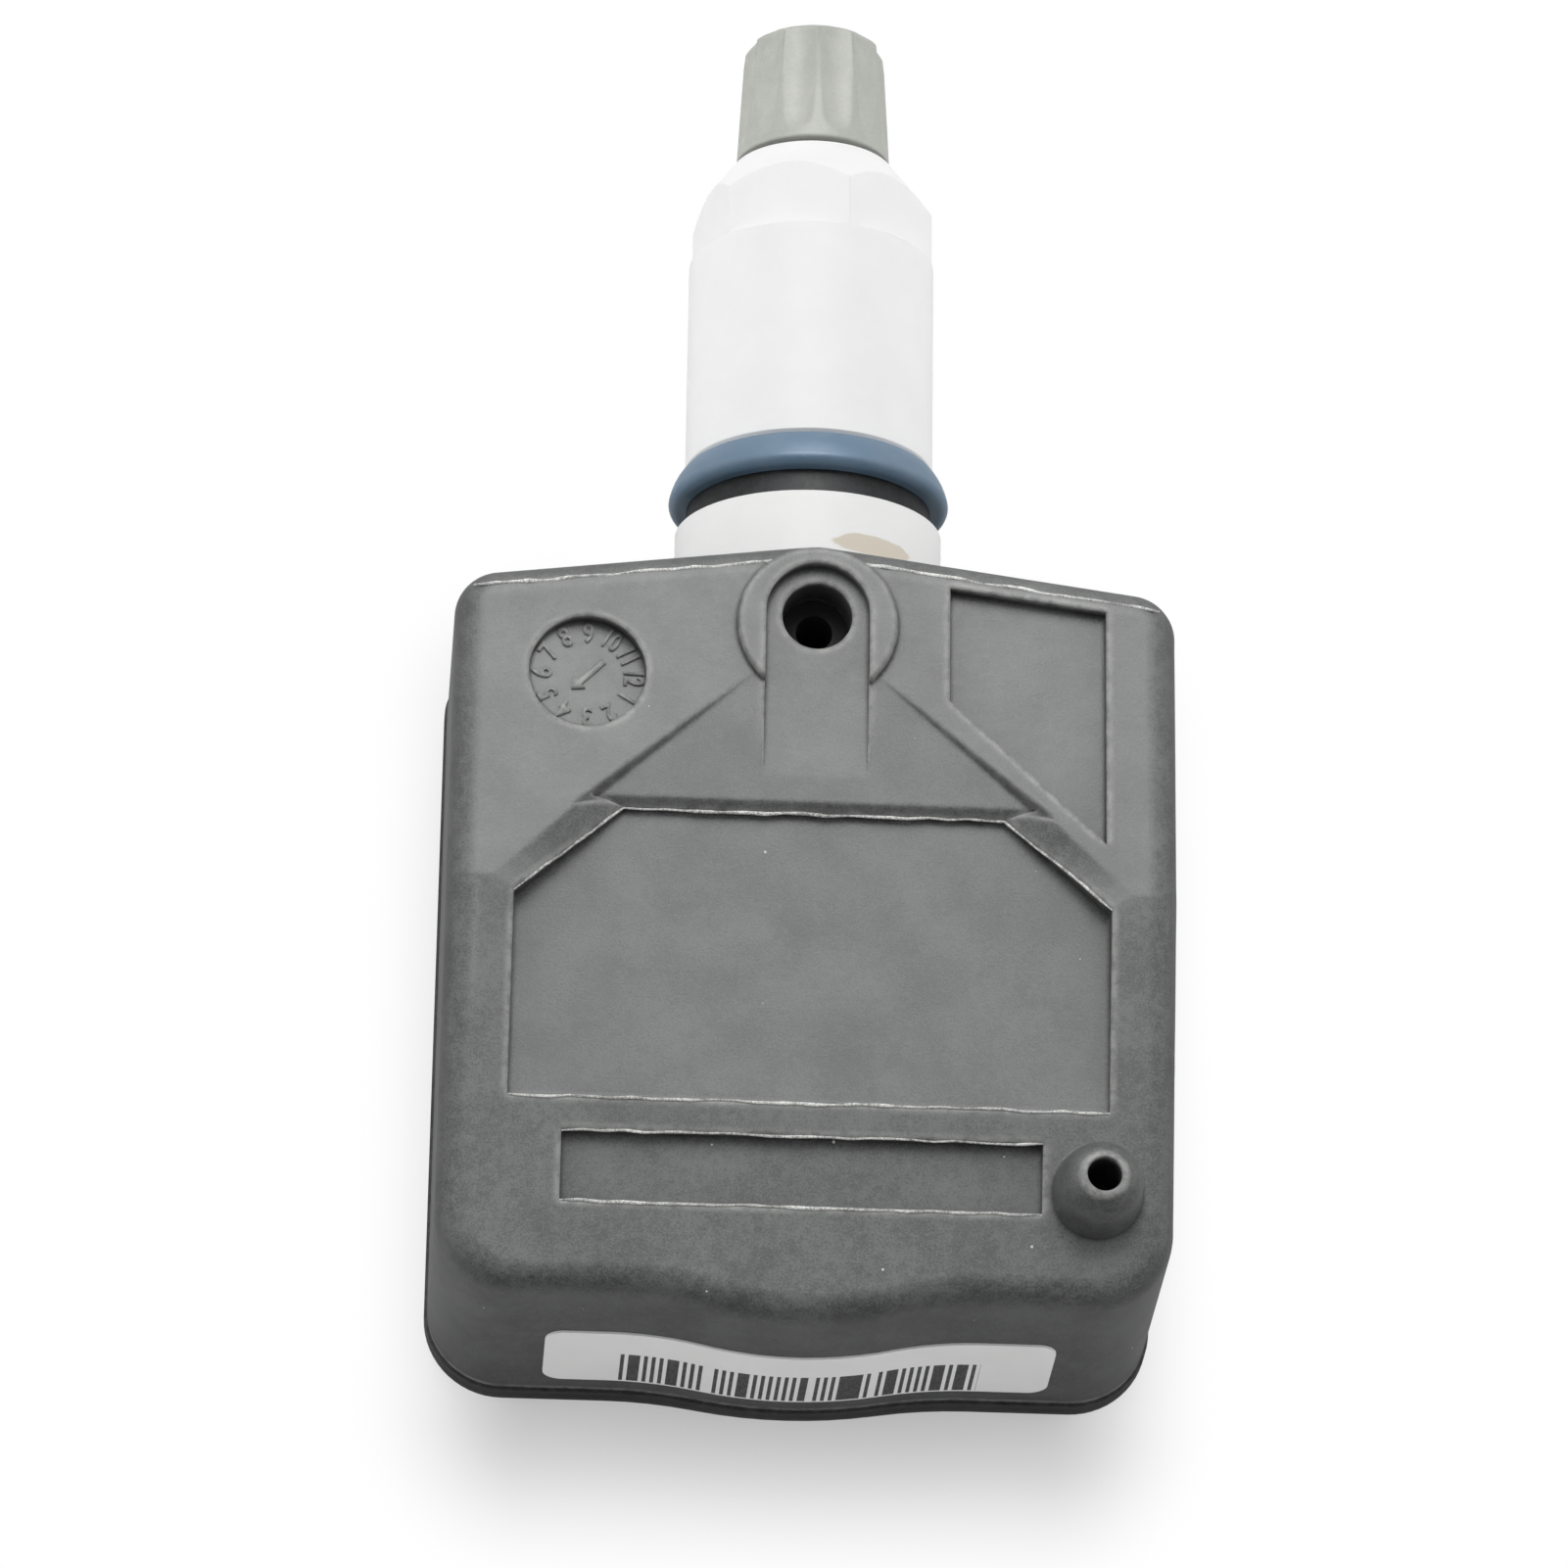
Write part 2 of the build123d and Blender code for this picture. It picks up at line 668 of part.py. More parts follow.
def core_pin():
    """Pin with a collar above the spring and a head below the seal."""
    rod = pin_diameter / 2
    collar = pin_collar_diameter / 2
    head = pin_head_diameter / 2
    collar_top = pin_collar_y + pin_collar_length
    seal_y = pin_head_y + pin_head_length
    return turned([
        (0, pin_head_y), (head, pin_head_y), (head, seal_y), (rod, seal_y), (rod, pin_collar_y),
        (collar, pin_collar_y), (collar, collar_top), (rod, collar_top), (rod, pin_top_y), (0, pin_top_y),
    ])


def pin_seal():
    """Rubber washer on the pin's head, which shuts the barrel."""
    inner = pin_diameter / 2 + core_gap
    outer = pin_seal_diameter / 2
    low = pin_head_y + pin_head_length
    return turned([(inner, low), (outer, low), (outer, core_end_y), (inner, core_end_y)])


def core_spring():
    """Coil spring between the barrel's lip and the pin's collar."""
    low = core_end_y + core_lip_length + spring_wire / 2
    length = pin_collar_y - spring_wire / 2 - low
    radius = (pin_diameter / 2 + core_sleeve_bore / 2) / 2
    coil = Helix(pitch=length / spring_turns, height=length, radius=radius)
    wire = sweep(Plane(coil @ 0, z_dir=coil % 0) * Circle(spring_wire / 2), path=coil)
    return Pos(0, low, 0) * Rot(-90, 0, 0) * wire


# Electronics


def circuit_board():
    """Board with a hole for each peg of the base cover."""
    board = extrude(RectangleRounded(board_width, board_length, board_corner_radius), amount=board_thickness)
    board = Pos(0, board_y, board_z) * board
    for x, y in post_places():
        board -= Pos(x, y, 0) * extrude(Circle(peg_diameter / 2 + assembly_gap), amount=clear_z, both=True)
    return board


def battery_cell():
    """Coin cell: a crimped can with the smaller cap below."""
    can = battery_diameter / 2
    cap = can - battery_cap_inset
    lip_z = battery_z + battery_cap_height
    top_z = battery_z + battery_height
    profile = make_face(Polyline((0, battery_z), (cap, battery_z), (cap, lip_z), (can, lip_z), (can, top_z),
                                 (0, top_z), close=True))
    cell = revolve(Plane.XZ * profile, axis=Axis.Z)
    rims = cell.edges().filter_by(GeomType.CIRCLE).filter_by(lambda edge: edge.radius > (can + cap) / 2)
    return Pos(0, board_y, 0) * fillet(rims, radius=battery_edge_radius)


def battery_tab(low, side):
    """Metal strip from the middle of a battery face to the board, past one side of the battery."""
    reach = battery_diameter / 2 + tab_stand_off
    strip = Pos(0, side * (reach + tab_thickness) / 2, low + tab_thickness / 2)
    upright_height = board_z - low
    upright = Pos(0, side * (reach + tab_thickness / 2), low + upright_height / 2)
    tab = strip * Box(tab_width, reach + tab_thickness, tab_thickness)
    tab += upright * Box(tab_width, tab_thickness, upright_height)
    return Pos(0, board_y, 0) * tab


def battery_tab_negative():
    """Strip under the battery, up to the rear of the board."""
    return battery_tab(joint_z, 1)


def battery_tab_positive():
    """Strip on the battery, up to the front of the board."""
    return battery_tab(battery_z + battery_height, -1)


def on_board(x, y, width, length, height, edge):
    """A chip's package on the board, with its upper edges chamfered."""
    body = Pos(x, y, board_top + height / 2) * Box(width, length, height)
    return chamfer(top_face(body).edges(), length=edge)


def pressure_sensor_chip():
    """Sensor package with a hole under the port."""
    chip = on_board(port_x, port_y, sensor_size, sensor_size, sensor_height, package_chamfer)
    hole_z = board_top + sensor_height / 2
    return chip - Pos(port_x, port_y, hole_z) * extrude(Circle(port_hole_diameter / 2), amount=clear_z)


def pressure_port_seal():
    """Soft tube between the sensor and the underside of the roof."""
    low = board_top + sensor_height
    ring = Circle(port_seal_diameter / 2) - Circle(port_hole_diameter / 2)
    tube = Pos(port_x, port_y, low) * extrude(ring, amount=clear_z)
    return split(tube, bisect_by=deck_plane.offset(-roof), keep=Keep.BOTTOM)


def transmitter_chip():
    """Control and radio chip in the middle of the board."""
    return on_board(chip_x, board_y - chip_setback, transmitter_width, transmitter_length,
                    transmitter_height, package_chamfer)


def quartz_crystal():
    """Crystal in its metal can, beside the chip."""
    return on_board(crystal_x, board_y, crystal_width, crystal_length, crystal_height, package_chamfer)


def coil_place():
    """Centre of the wake-up coil, which lies across the rear of the board."""
    return Pos(0, board_y + board_length / 2 - 2 * coil_size, board_top + coil_size / 2)


def coil_core():
    """Ferrite with a square flange at each end."""
    core = Box(coil_length, coil_core_size, coil_core_size)
    for side in (-1, 1):
        core += Pos(side * (coil_length - coil_flange) / 2, 0, 0) * Box(coil_flange, coil_size, coil_size)
    return coil_place() * core


def coil_winding():
    """Wire wound on the ferrite between its flanges."""
    length = coil_length - 2 * coil_flange
    section = Rectangle(coil_winding_size, coil_winding_size) - Rectangle(coil_core_size, coil_core_size)
    winding = extrude(Plane.YZ * section, amount=length / 2, both=True)
    return coil_place() * winding


def loop_antenna():
    """Wire hoop that stands on the left edge of the board."""
    x = -board_width / 2 + antenna_inset
    half = antenna_span / 2
    top_z = ceiling_height(board_y - half) - antenna_roof_gap - antenna_wire / 2
    path = FilletPolyline((x, board_y - half, board_top), (x, board_y - half, top_z),
                          (x, board_y + half, top_z), (x, board_y + half, board_top),
                          radius=min(antenna_bend_radius, (top_z - board_top) / 2))
    section = Plane((x, board_y - half, board_top), z_dir=(0, 0, 1)) * Circle(antenna_wire / 2)
    return sweep(section, path=path)


def capacitors():
    """Row of small capacitors beside the chip."""
    first_y = board_y - chip_setback - (capacitor_count - 1) * capacitor_pitch / 2
    row = [Pos(capacitor_x, first_y + index * capacitor_pitch, board_top + capacitor_width / 2)
           * Box(capacitor_length, capacitor_width, capacitor_width) for index in range(capacitor_count)]
    return Compound(children=row)


pieces = [
    housing, base_cover, barcode_label,
    valve_stem, backing_ring, rim_grommet, hex_nut, valve_cap, cap_gasket,
    core_barrel, core_seal, core_pin, pin_seal, core_spring,
    circuit_board, battery_cell, battery_tab_positive, battery_tab_negative,
    pressure_sensor_chip, pressure_port_seal, transmitter_chip, quartz_crystal,
    coil_core, coil_winding, loop_antenna, capacitors,
]

os.makedirs("parts", exist_ok=True)
for piece in pieces:
    export_step(piece(), f"parts/{piece.__name__}.step")
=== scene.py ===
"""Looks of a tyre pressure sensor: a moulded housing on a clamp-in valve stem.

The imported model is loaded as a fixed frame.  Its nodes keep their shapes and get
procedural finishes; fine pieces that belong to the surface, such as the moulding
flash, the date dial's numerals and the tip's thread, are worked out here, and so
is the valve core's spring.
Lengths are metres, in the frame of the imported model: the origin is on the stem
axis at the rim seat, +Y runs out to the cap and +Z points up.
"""

from __future__ import annotations

import logging
import math
from dataclasses import dataclass, field
from enum import Enum
from functools import cached_property
from typing import Any, Callable, Sequence, Union

import bpy
import numpy as np
from mathutils import Matrix, Vector

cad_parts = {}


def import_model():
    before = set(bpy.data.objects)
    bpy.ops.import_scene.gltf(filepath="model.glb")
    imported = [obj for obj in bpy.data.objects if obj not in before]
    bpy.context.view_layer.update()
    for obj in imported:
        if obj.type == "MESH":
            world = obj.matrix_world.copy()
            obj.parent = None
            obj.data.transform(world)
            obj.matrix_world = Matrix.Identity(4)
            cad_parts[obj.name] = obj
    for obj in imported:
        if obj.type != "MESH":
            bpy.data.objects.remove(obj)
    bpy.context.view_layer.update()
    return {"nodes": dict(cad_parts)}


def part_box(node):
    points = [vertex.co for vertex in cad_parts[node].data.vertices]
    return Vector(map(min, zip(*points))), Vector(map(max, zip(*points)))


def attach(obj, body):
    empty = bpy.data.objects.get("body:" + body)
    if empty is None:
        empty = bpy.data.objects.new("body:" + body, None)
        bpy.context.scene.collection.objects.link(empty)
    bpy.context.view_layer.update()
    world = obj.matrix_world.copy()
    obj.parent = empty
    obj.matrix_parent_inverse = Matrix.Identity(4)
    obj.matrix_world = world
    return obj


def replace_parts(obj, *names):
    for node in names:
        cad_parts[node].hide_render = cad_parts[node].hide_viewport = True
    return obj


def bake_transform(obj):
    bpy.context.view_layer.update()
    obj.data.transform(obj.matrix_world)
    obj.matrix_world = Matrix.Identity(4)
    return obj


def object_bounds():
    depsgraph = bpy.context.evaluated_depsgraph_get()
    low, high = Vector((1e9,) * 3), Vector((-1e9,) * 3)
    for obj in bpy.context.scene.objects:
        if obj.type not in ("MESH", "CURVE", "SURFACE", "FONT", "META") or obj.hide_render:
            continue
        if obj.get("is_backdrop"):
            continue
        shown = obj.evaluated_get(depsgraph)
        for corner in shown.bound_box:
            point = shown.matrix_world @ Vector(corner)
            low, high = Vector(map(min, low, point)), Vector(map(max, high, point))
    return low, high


LOG = logging.getLogger("tyre_pressure_sensor")

MM = 1e-3
TURN = 2.0 * math.pi
EDGE_SAMPLES = 6

Span = tuple[float, float]
Triple = tuple[float, float, float]
Colour = Triple
Number = Union[float, "Value"]
Socket = bpy.types.NodeSocket
Piece = bpy.types.Object

BLACK: Colour = (0.0, 0.0, 0.0)
WHITE: Colour = (1.0, 1.0, 1.0)


class Body(Enum):
    """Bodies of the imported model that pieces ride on."""

    HOUSING = "housing"
    PIN = "pin"


# Shader graphs


def math_operator(operation: str, swapped: bool = False) -> Callable[..., Value]:
    """A method of Value that adds one Math node.

    Args:
        operation: Blender's name of the operation.
        swapped: Puts the other number first.

    Returns:
        The method.
    """
    def method(self: Value, *others: Number) -> Value:
        """Works out a new number."""
        return self.graph.math(operation, *((*others, self) if swapped else (self, *others)))

    return method


@dataclass(frozen=True, eq=False)
class Value:
    """One number of a shader graph, with Python's operators for its maths.

    A comparison gives one where it holds, else zero.
    """

    graph: Graph
    socket: Socket

    __add__ = __radd__ = math_operator("ADD")
    __mul__ = __rmul__ = math_operator("MULTIPLY")
    __sub__ = math_operator("SUBTRACT")
    __rsub__ = math_operator("SUBTRACT", swapped=True)
    __truediv__ = math_operator("DIVIDE")
    __lt__ = math_operator("LESS_THAN")
    __gt__ = math_operator("GREATER_THAN")
    __abs__ = math_operator("ABSOLUTE")
    floor = math_operator("FLOOR")

    def between(self, low: float, high: float) -> Value:
        """One inside a range, else zero."""
        return (self > low) * (self < high)

    def rise(self, low: float, high: float) -> Value:
        """Smooth step from zero at one number to one at another.

        Args:
            low: Where the step starts.
            high: Where the step ends; it may be the smaller of the two.

        Returns:
            The step's height.
        """
        settings = {"interpolation_type": "SMOOTHSTEP"}
        inputs = {"Value": self, "From Min": low, "From Max": high}
        return Value(self.graph, self.graph.node("ShaderNodeMapRange", settings, inputs).outputs[0])


@dataclass
class Graph:
    """The node tree of one material or of the world."""

    tree: bpy.types.NodeTree

    def __post_init__(self) -> None:
        """Empties the tree."""
        self.tree.nodes.clear()

    def node(self, kind: str, settings: dict[str, Any] | None = None,
             inputs: dict[str | int, Any] | None = None) -> bpy.types.Node:
        """Makes a node of any type.

        Args:
            kind: Blender's name of the node type.
            settings: The node's own settings.
            inputs: Values, colours or links of its sockets, by name or number.

        Returns:
            The new node.
        """
        made = self.tree.nodes.new(kind)
        for name, setting in (settings or {}).items():
            setattr(made, name, setting)
        for key, source in (inputs or {}).items():
            source = source.socket if isinstance(source, Value) else source
            if isinstance(source, Socket):
                self.tree.links.new(source, made.inputs[key])
            elif made.inputs[key].type == "RGBA":
                made.inputs[key].default_value = (*source, 1.0)
            else:
                made.inputs[key].default_value = source
        return made

    def math(self, operation: str, *numbers: Number) -> Value:
        """Adds one Math node.

        Args:
            operation: Blender's name of the operation.
            numbers: Its operands.

        Returns:
            The result.
        """
        made = self.node("ShaderNodeMath", {"operation": operation}, dict(enumerate(numbers)))
        return Value(self, made.outputs[0])

    @cached_property
    def place(self) -> Socket:
        """Place on the piece, in its own coordinates."""
        return self.node("ShaderNodeTexCoord").outputs["Object"]

    def axes(self, vector: Socket) -> tuple[Value, Value, Value]:
        """The three numbers of a vector."""
        split = self.node("ShaderNodeSeparateXYZ", inputs={0: vector})
        return tuple(Value(self, number) for number in split.outputs)

    def stretched(self, scale: Triple, turn: float = 0.0) -> Socket:
        """The place turned and stretched, for patterns that run one way.

        Args:
            scale: Factor along each axis.
            turn: Angle about Z, in degrees.

        Returns:
            The stretched place.
        """
        inputs = {"Vector": self.place, "Rotation": (0.0, 0.0, math.radians(turn)), "Scale": scale}
        return self.node("ShaderNodeMapping", inputs=inputs).outputs[0]

    def noise(self, grain: float, detail: float = 3.0, roughness: float = 0.5,
              place: Socket | None = None) -> Value:
        """Soft noise of a given grain.

        Args:
            grain: Size of one patch, in metres.
            detail: How many finer layers are added.
            roughness: Weight of the finer layers.
            place: A stretched place, if not the plain one.

        Returns:
            The noise, from 0 to 1.
        """
        inputs = {"Vector": place or self.place, "Scale": 1.0 / grain,
                  "Detail": detail, "Roughness": roughness}
        return Value(self, self.node("ShaderNodeTexNoise", inputs=inputs).outputs[0])

    def rays(self, *kinds: str) -> list[Value]:
        """One for light rays of each kind, else zero."""
        path = self.node("ShaderNodeLightPath")
        return [Value(self, path.outputs[f"Is {kind} Ray"]) for kind in kinds]

    def specks(self, spacing: float, radius: float, share: float) -> Value:
        """Small round specks strewn over a surface.

        Args:
            spacing: Usual distance between neighbours.
            radius: Size of the largest speck.
            share: Share of the places that have one.

        Returns:
            One on a speck, else zero.
        """
        cells = self.node("ShaderNodeTexVoronoi", inputs={"Vector": self.place, "Scale": 1.0 / spacing})
        chance, size, _ = self.axes(cells.outputs["Color"])
        reach = size * (radius / spacing)
        return (Value(self, cells.outputs["Distance"]) < reach) * (chance < share)

    def mix(self, factor: Number, first: Any, second: Any) -> Socket:
        """Mixes two colours.

        Args:
            factor: Share of the second colour.
            first: A colour or a link to one.
            second: A colour or a link to one.

        Returns:
            The mixed colour.
        """
        settings = {"data_type": "RGBA", "clamp_factor": True}
        return self.node("ShaderNodeMix", settings, {0: factor, 6: first, 7: second}).outputs[2]

    def bevel(self, radius: float) -> Socket:
        """Normal that is rounded over the piece's edges."""
        return self.node("ShaderNodeBevel", {"samples": EDGE_SAMPLES}, {"Radius": radius}).outputs[0]

    def crowding(self, reach: float, inside: bool) -> Value:
        """How much nearby surface closes in, at hollow corners or, seen from inside, at sharp edges.

        Args:
            reach: How far away surface counts, in metres.
            inside: Looks into the solid instead of out of it.

        Returns:
            Zero on open faces, and about a half at a square corner or edge.
        """
        settings = {"inside": inside, "only_local": True, "samples": EDGE_SAMPLES}
        shade = self.node("ShaderNodeAmbientOcclusion", settings, {"Distance": reach})
        return 1.0 - Value(self, shade.outputs["AO"])

    def bump(self, height: Number, depth: float, normal: Socket | None = None) -> Socket:
        """Normal of a surface with fine relief.

        Args:
            height: Relief from 0 to 1.
            depth: Depth of the relief, in metres.
            normal: Normal to start from.

        Returns:
            The new normal.
        """
        inputs: dict[str | int, Any] = {"Strength": 1.0, "Distance": depth, "Height": height}
        if normal is not None:
            inputs["Normal"] = normal
        return self.node("ShaderNodeBump", inputs=inputs).outputs[0]

    def surface(self, **inputs: Any) -> None:
        """Ends the graph in one principled surface.

        Args:
            inputs: Its sockets, with underscores for the spaces of their names.
        """
        named = {key.replace("_", " ").title().replace("Ior", "IOR"): source
                 for key, source in inputs.items()}
        shader = self.node("ShaderNodeBsdfPrincipled", inputs=named)
        self.node("ShaderNodeOutputMaterial", inputs={"Surface": shader.outputs[0]})


def new_material(name: str) -> tuple[bpy.types.Material, Graph]:
    """Starts a material.

    Args:
        name: The material's name.

    Returns:
        The material and its empty graph.
    """
    made = bpy.data.materials.new(name)
    made.use_nodes = True
    return made, Graph(made.node_tree)


def scaled(colour: Colour, factor: float) -> Colour:
    """A colour times a factor."""
    return tuple(factor * c for c in colour)


# Finishes


@dataclass(frozen=True)
class Finish:
    """A named surface finish that can fill a material's graph."""

    name: str

    def material(self) -> bpy.types.Material:
        """The finish as a new material."""
        made, g = new_material(self.name)
        self.paint(g)
        return made

    def paint(self, g: Graph) -> None:
        """Fills the graph; every finish has its own way."""
        raise NotImplementedError(self.name)


@dataclass(frozen=True)
class MouldedPlastic(Finish):
    """Moulded plastic with fine grain, flow marks, scuffs, edges paled by wear and a painted highlight,
    painted shade in hollow corners and on walls, and dust.
    """

    colour: Colour
    roughness: float = 0.52
    gloss: float = 0.65
    flow_size: float = 3.4 * MM
    pit_size: float = 0.55 * MM
    grain: float = 0.11 * MM
    grain_depth: float = 0.013 * MM
    relief_mix: Span = (0.6, 0.4)  # grain and pits
    mottle: float = 0.55
    mottle_mix: Triple = (0.3, 0.3, 0.4)  # flow, pits and grain
    mottle_span: Span = (0.38, 0.62)
    scuff: float = 0.25
    scuff_share: float = 0.3
    scuff_dulling: float = 0.06
    scuff_patches: Span = (0.45, 0.62)
    scuff_lines: tuple[tuple[Triple, float, float, Span], ...] = (  # stretch, turn, pitch and span
        ((1.0, 0.07, 0.3), 24.0, 0.1 * MM, (0.66, 0.74)),
        ((0.06, 1.0, 0.3), 11.0, 0.11 * MM, (0.67, 0.75)),
    )
    # Painted shade: hollow corners darkened towards black.
    hollow_span: Span = (0.1, 0.5)
    hollow_dim: float = 0.5
    # Painted shade: walls that face sideways darkened towards black.
    wall_span: Span = (0.92, 0.5)
    wall_dim: float = 0.0
    edge_colour: Colour = (0.3, 0.305, 0.295)
    edge_radius: float = 0.4 * MM
    edge_reach: float = 0.5 * MM
    # Convex edges paled: partly rubbed wear, partly a painted highlight.
    edge_share: float = 0.85
    edge_span: Span = (0.06, 0.3)
    rub_size: float = 0.8 * MM
    rub_span: Span = (0.36, 0.62)
    rub_least: float = 0.35
    dust: float = 0.2
    dust_colour: Colour = (0.7, 0.7, 0.68)
    dust_share: float = 0.85
    dust_spacing: float = 1.3 * MM
    dust_radius: float = 0.09 * MM

    def paint(self, g: Graph) -> None:
        """Mottled colour, faint scuffs, painted shade in hollow corners and on walls, edges paled by wear and
        a painted highlight, and pale specks.

        Args:
            g: The material's graph.
        """
        flow = g.noise(self.flow_size, detail=4.0, roughness=0.6)
        grain = g.noise(self.grain, detail=2.0)
        pits = g.noise(self.pit_size, detail=3.0, roughness=0.65)
        by_flow, by_pits, by_grain = self.mottle_mix
        mottle = (flow * by_flow + pits * by_pits + grain * by_grain).rise(*self.mottle_span)
        dark, pale = scaled(self.colour, 1.0 - self.mottle), scaled(self.colour, 1.0 + self.mottle)
        colour = g.mix(mottle, dark, pale)
        marks = [g.noise(pitch, detail=2.0, place=g.stretched(stretch, turn)).rise(*span)
                 for stretch, turn, pitch, span in self.scuff_lines]
        scuffs = (marks[0] + marks[1]) * flow.rise(*self.scuff_patches)
        colour = g.mix(scuffs * (self.scuff_share * self.scuff), colour, self.edge_colour)
        # Painted shade in hollow corners.
        painted_hollow_shade = g.crowding(self.edge_reach, inside=False).rise(*self.hollow_span)
        colour = g.mix(painted_hollow_shade * self.hollow_dim, colour, BLACK)
        # Painted shade on walls that face sideways.
        _, _, facing_up = g.axes(g.node("ShaderNodeTexCoord").outputs["Normal"])
        colour = g.mix(abs(facing_up).rise(*self.wall_span) * self.wall_dim, colour, BLACK)
        # Convex edges paled by rubbed wear and by a painted highlight.
        patches = g.noise(self.rub_size, detail=3.0, roughness=0.7).rise(*self.rub_span)
        edge_patchiness = self.rub_least + patches * (1.0 - self.rub_least)
        worn_and_lit_edges = g.crowding(self.edge_reach, inside=True).rise(*self.edge_span) * edge_patchiness
        colour = g.mix(worn_and_lit_edges * self.edge_share, colour, self.edge_colour)
        dust = g.specks(self.dust_spacing, self.dust_radius, self.dust)
        colour = g.mix(dust * self.dust_share, colour, self.dust_colour)
        unevenness = (pits * 0.5 + grain * 0.5 - 0.5) * self.mottle
        relief = grain * self.relief_mix[0] + pits * self.relief_mix[1]
        g.surface(base_color=colour, roughness=self.roughness + unevenness + scuffs * self.scuff_dulling,
                  specular_ior_level=self.gloss,
                  normal=g.bump(relief, self.grain_depth, g.bevel(self.edge_radius)))


@dataclass(frozen=True)
class TurnedMetal(Finish):
    """Clouded metal with fine tool lines round the stem axis."""

    colour: Colour
    roughness: float = 0.34
    roughness_spread: float = 0.12
    metallic: float = 1.0
    gloss: float = 0.5
    cloud: float = 0.04
    cloud_size: float = 2.6 * MM
    tool_pitch: float = 0.09 * MM
    tool_depth: float = 0.0025 * MM
    tool_stretch: Triple = (0.03, 1.0, 0.03)
    edge_radius: float = 0.12 * MM

    def layers(self, g: Graph) -> tuple[Socket, Value, Number]:
        """Colour, roughness and metal share of the clouded metal.

        Args:
            g: The material's graph.

        Returns:
            The colour, the roughness and the metal share.
        """
        cloud = g.noise(self.cloud_size, detail=4.0, roughness=0.6)
        colour = g.mix(cloud, scaled(self.colour, 1.0 - 2.0 * self.cloud), self.colour)
        return colour, self.roughness + (cloud - 0.5) * self.roughness_spread, self.metallic

    def paint(self, g: Graph) -> None:
        """The metal's layers, with tool lines that run round the axis.

        Args:
            g: The material's graph.
        """
        colour, roughness, metallic = self.layers(g)
        lines = g.noise(self.tool_pitch, detail=2.0, place=g.stretched(self.tool_stretch))
        g.surface(base_color=colour, roughness=roughness, metallic=metallic, specular_ior_level=self.gloss,
                  normal=g.bump(lines, self.tool_depth, g.bevel(self.edge_radius)))


@dataclass(frozen=True)
class StainedMetal(TurnedMetal):
    """Turned metal with one dried stain on it, and painted shade on the stem inside the air outlet."""

    stain_colour: Colour = (0.56, 0.49, 0.37)
    stain_x: float = 3.1 * MM
    stain_y: float = -6.5 * MM
    stain_reach: float = 2.4 * MM
    stain_height: float = 0.62 * MM
    stain_span: Span = (1.05, 0.75)
    stain_share: float = 0.7
    stain_matt: float = 0.85
    ragged_size: float = 1.1 * MM
    ragged_depth: float = 1.3
    # Painted shade: dark grey on the stem where it shows at the bottom of the air outlet.
    residue_colour: Colour = (0.055, 0.056, 0.056)
    outlet_y: float = -11.6 * MM
    outlet_reach: float = 2.4 * MM
    outlet_low: float = 1.5 * MM
    dulling: float = 0.2

    def layers(self, g: Graph) -> tuple[Socket, Value, Number]:
        """The clouded metal, with a matt stain that has a ragged edge and painted shade round the outlet's
        axis.

        Args:
            g: The material's graph.

        Returns:
            The colour, the roughness and the metal share.
        """
        colour, roughness, metallic = super().layers(g)
        x, y, z = g.axes(g.place)
        ragged_edge = (g.noise(self.ragged_size) - 0.5) * self.ragged_depth
        reach = abs(x - self.stain_x) / self.stain_reach
        rise = abs(y - self.stain_y) / self.stain_height
        stain = (reach * reach + rise * rise + ragged_edge).rise(*self.stain_span) * (z > 0.0)
        # Painted shade, dark grey and not metallic, on the stem at the bottom of the outlet hole.
        along = y - self.outlet_y
        painted_outlet_shade = ((x * x + along * along) < self.outlet_reach ** 2) * (z > self.outlet_low)
        colour = g.mix(stain * self.stain_share, colour, self.stain_colour)
        dulled = g.math("MAXIMUM", stain * self.stain_matt, painted_outlet_shade)
        colour = g.mix(painted_outlet_shade, colour, self.residue_colour)
        return colour, roughness + dulled * self.dulling, metallic * (1.0 - dulled)


@dataclass(frozen=True)
class Rubber(Finish):
    """Soft rubber or a soft seal, clouded, with a faint bloom and a fine matt grain."""

    colour: Colour
    roughness: float = 0.42
    roughness_spread: float = 0.14
    bloom: float = 0.25
    bloom_grey: float = 0.35
    bloom_span: Span = (0.35, 0.75)
    cloud_size: float = 1.7 * MM
    grain: float = 0.09 * MM
    grain_depth: float = 0.004 * MM

    def paint(self, g: Graph) -> None:
        """Clouded colour with the bloom's paler patches.

        Args:
            g: The material's graph.
        """
        cloud = g.noise(self.cloud_size, detail=4.0, roughness=0.6)
        pale = tuple(c + self.bloom_grey * (1.0 - c) * self.bloom for c in self.colour)
        g.surface(base_color=g.mix(cloud.rise(*self.bloom_span), self.colour, pale),
                  roughness=self.roughness + (cloud - 0.5) * self.roughness_spread,
                  normal=g.bump(g.noise(self.grain, detail=2.0), self.grain_depth))


@dataclass(frozen=True)
class Grained(Finish):
    """A surface whose colour, roughness and relief follow one grain, such as fired ceramic."""

    colour: Colour
    roughness: float = 0.55
    stretch: Triple = (1.0, 1.0, 1.0)
    grain: float = 0.12 * MM
    grain_depth: float = 0.006 * MM
    finer_layers: Span = (3.0, 0.6)  # number and weight
    roughness_spread: float = 0.2
    dark_share: float = 0.75
    metallic: float = 0.0

    def paint(self, g: Graph) -> None:
        """One grain for colour, roughness and relief."""
        grain = g.noise(self.grain, *self.finer_layers, g.stretched(self.stretch))
        g.surface(base_color=g.mix(grain, scaled(self.colour, self.dark_share), self.colour),
                  metallic=self.metallic, roughness=self.roughness + (grain - 0.5) * self.roughness_spread,
                  normal=g.bump(grain, self.grain_depth))


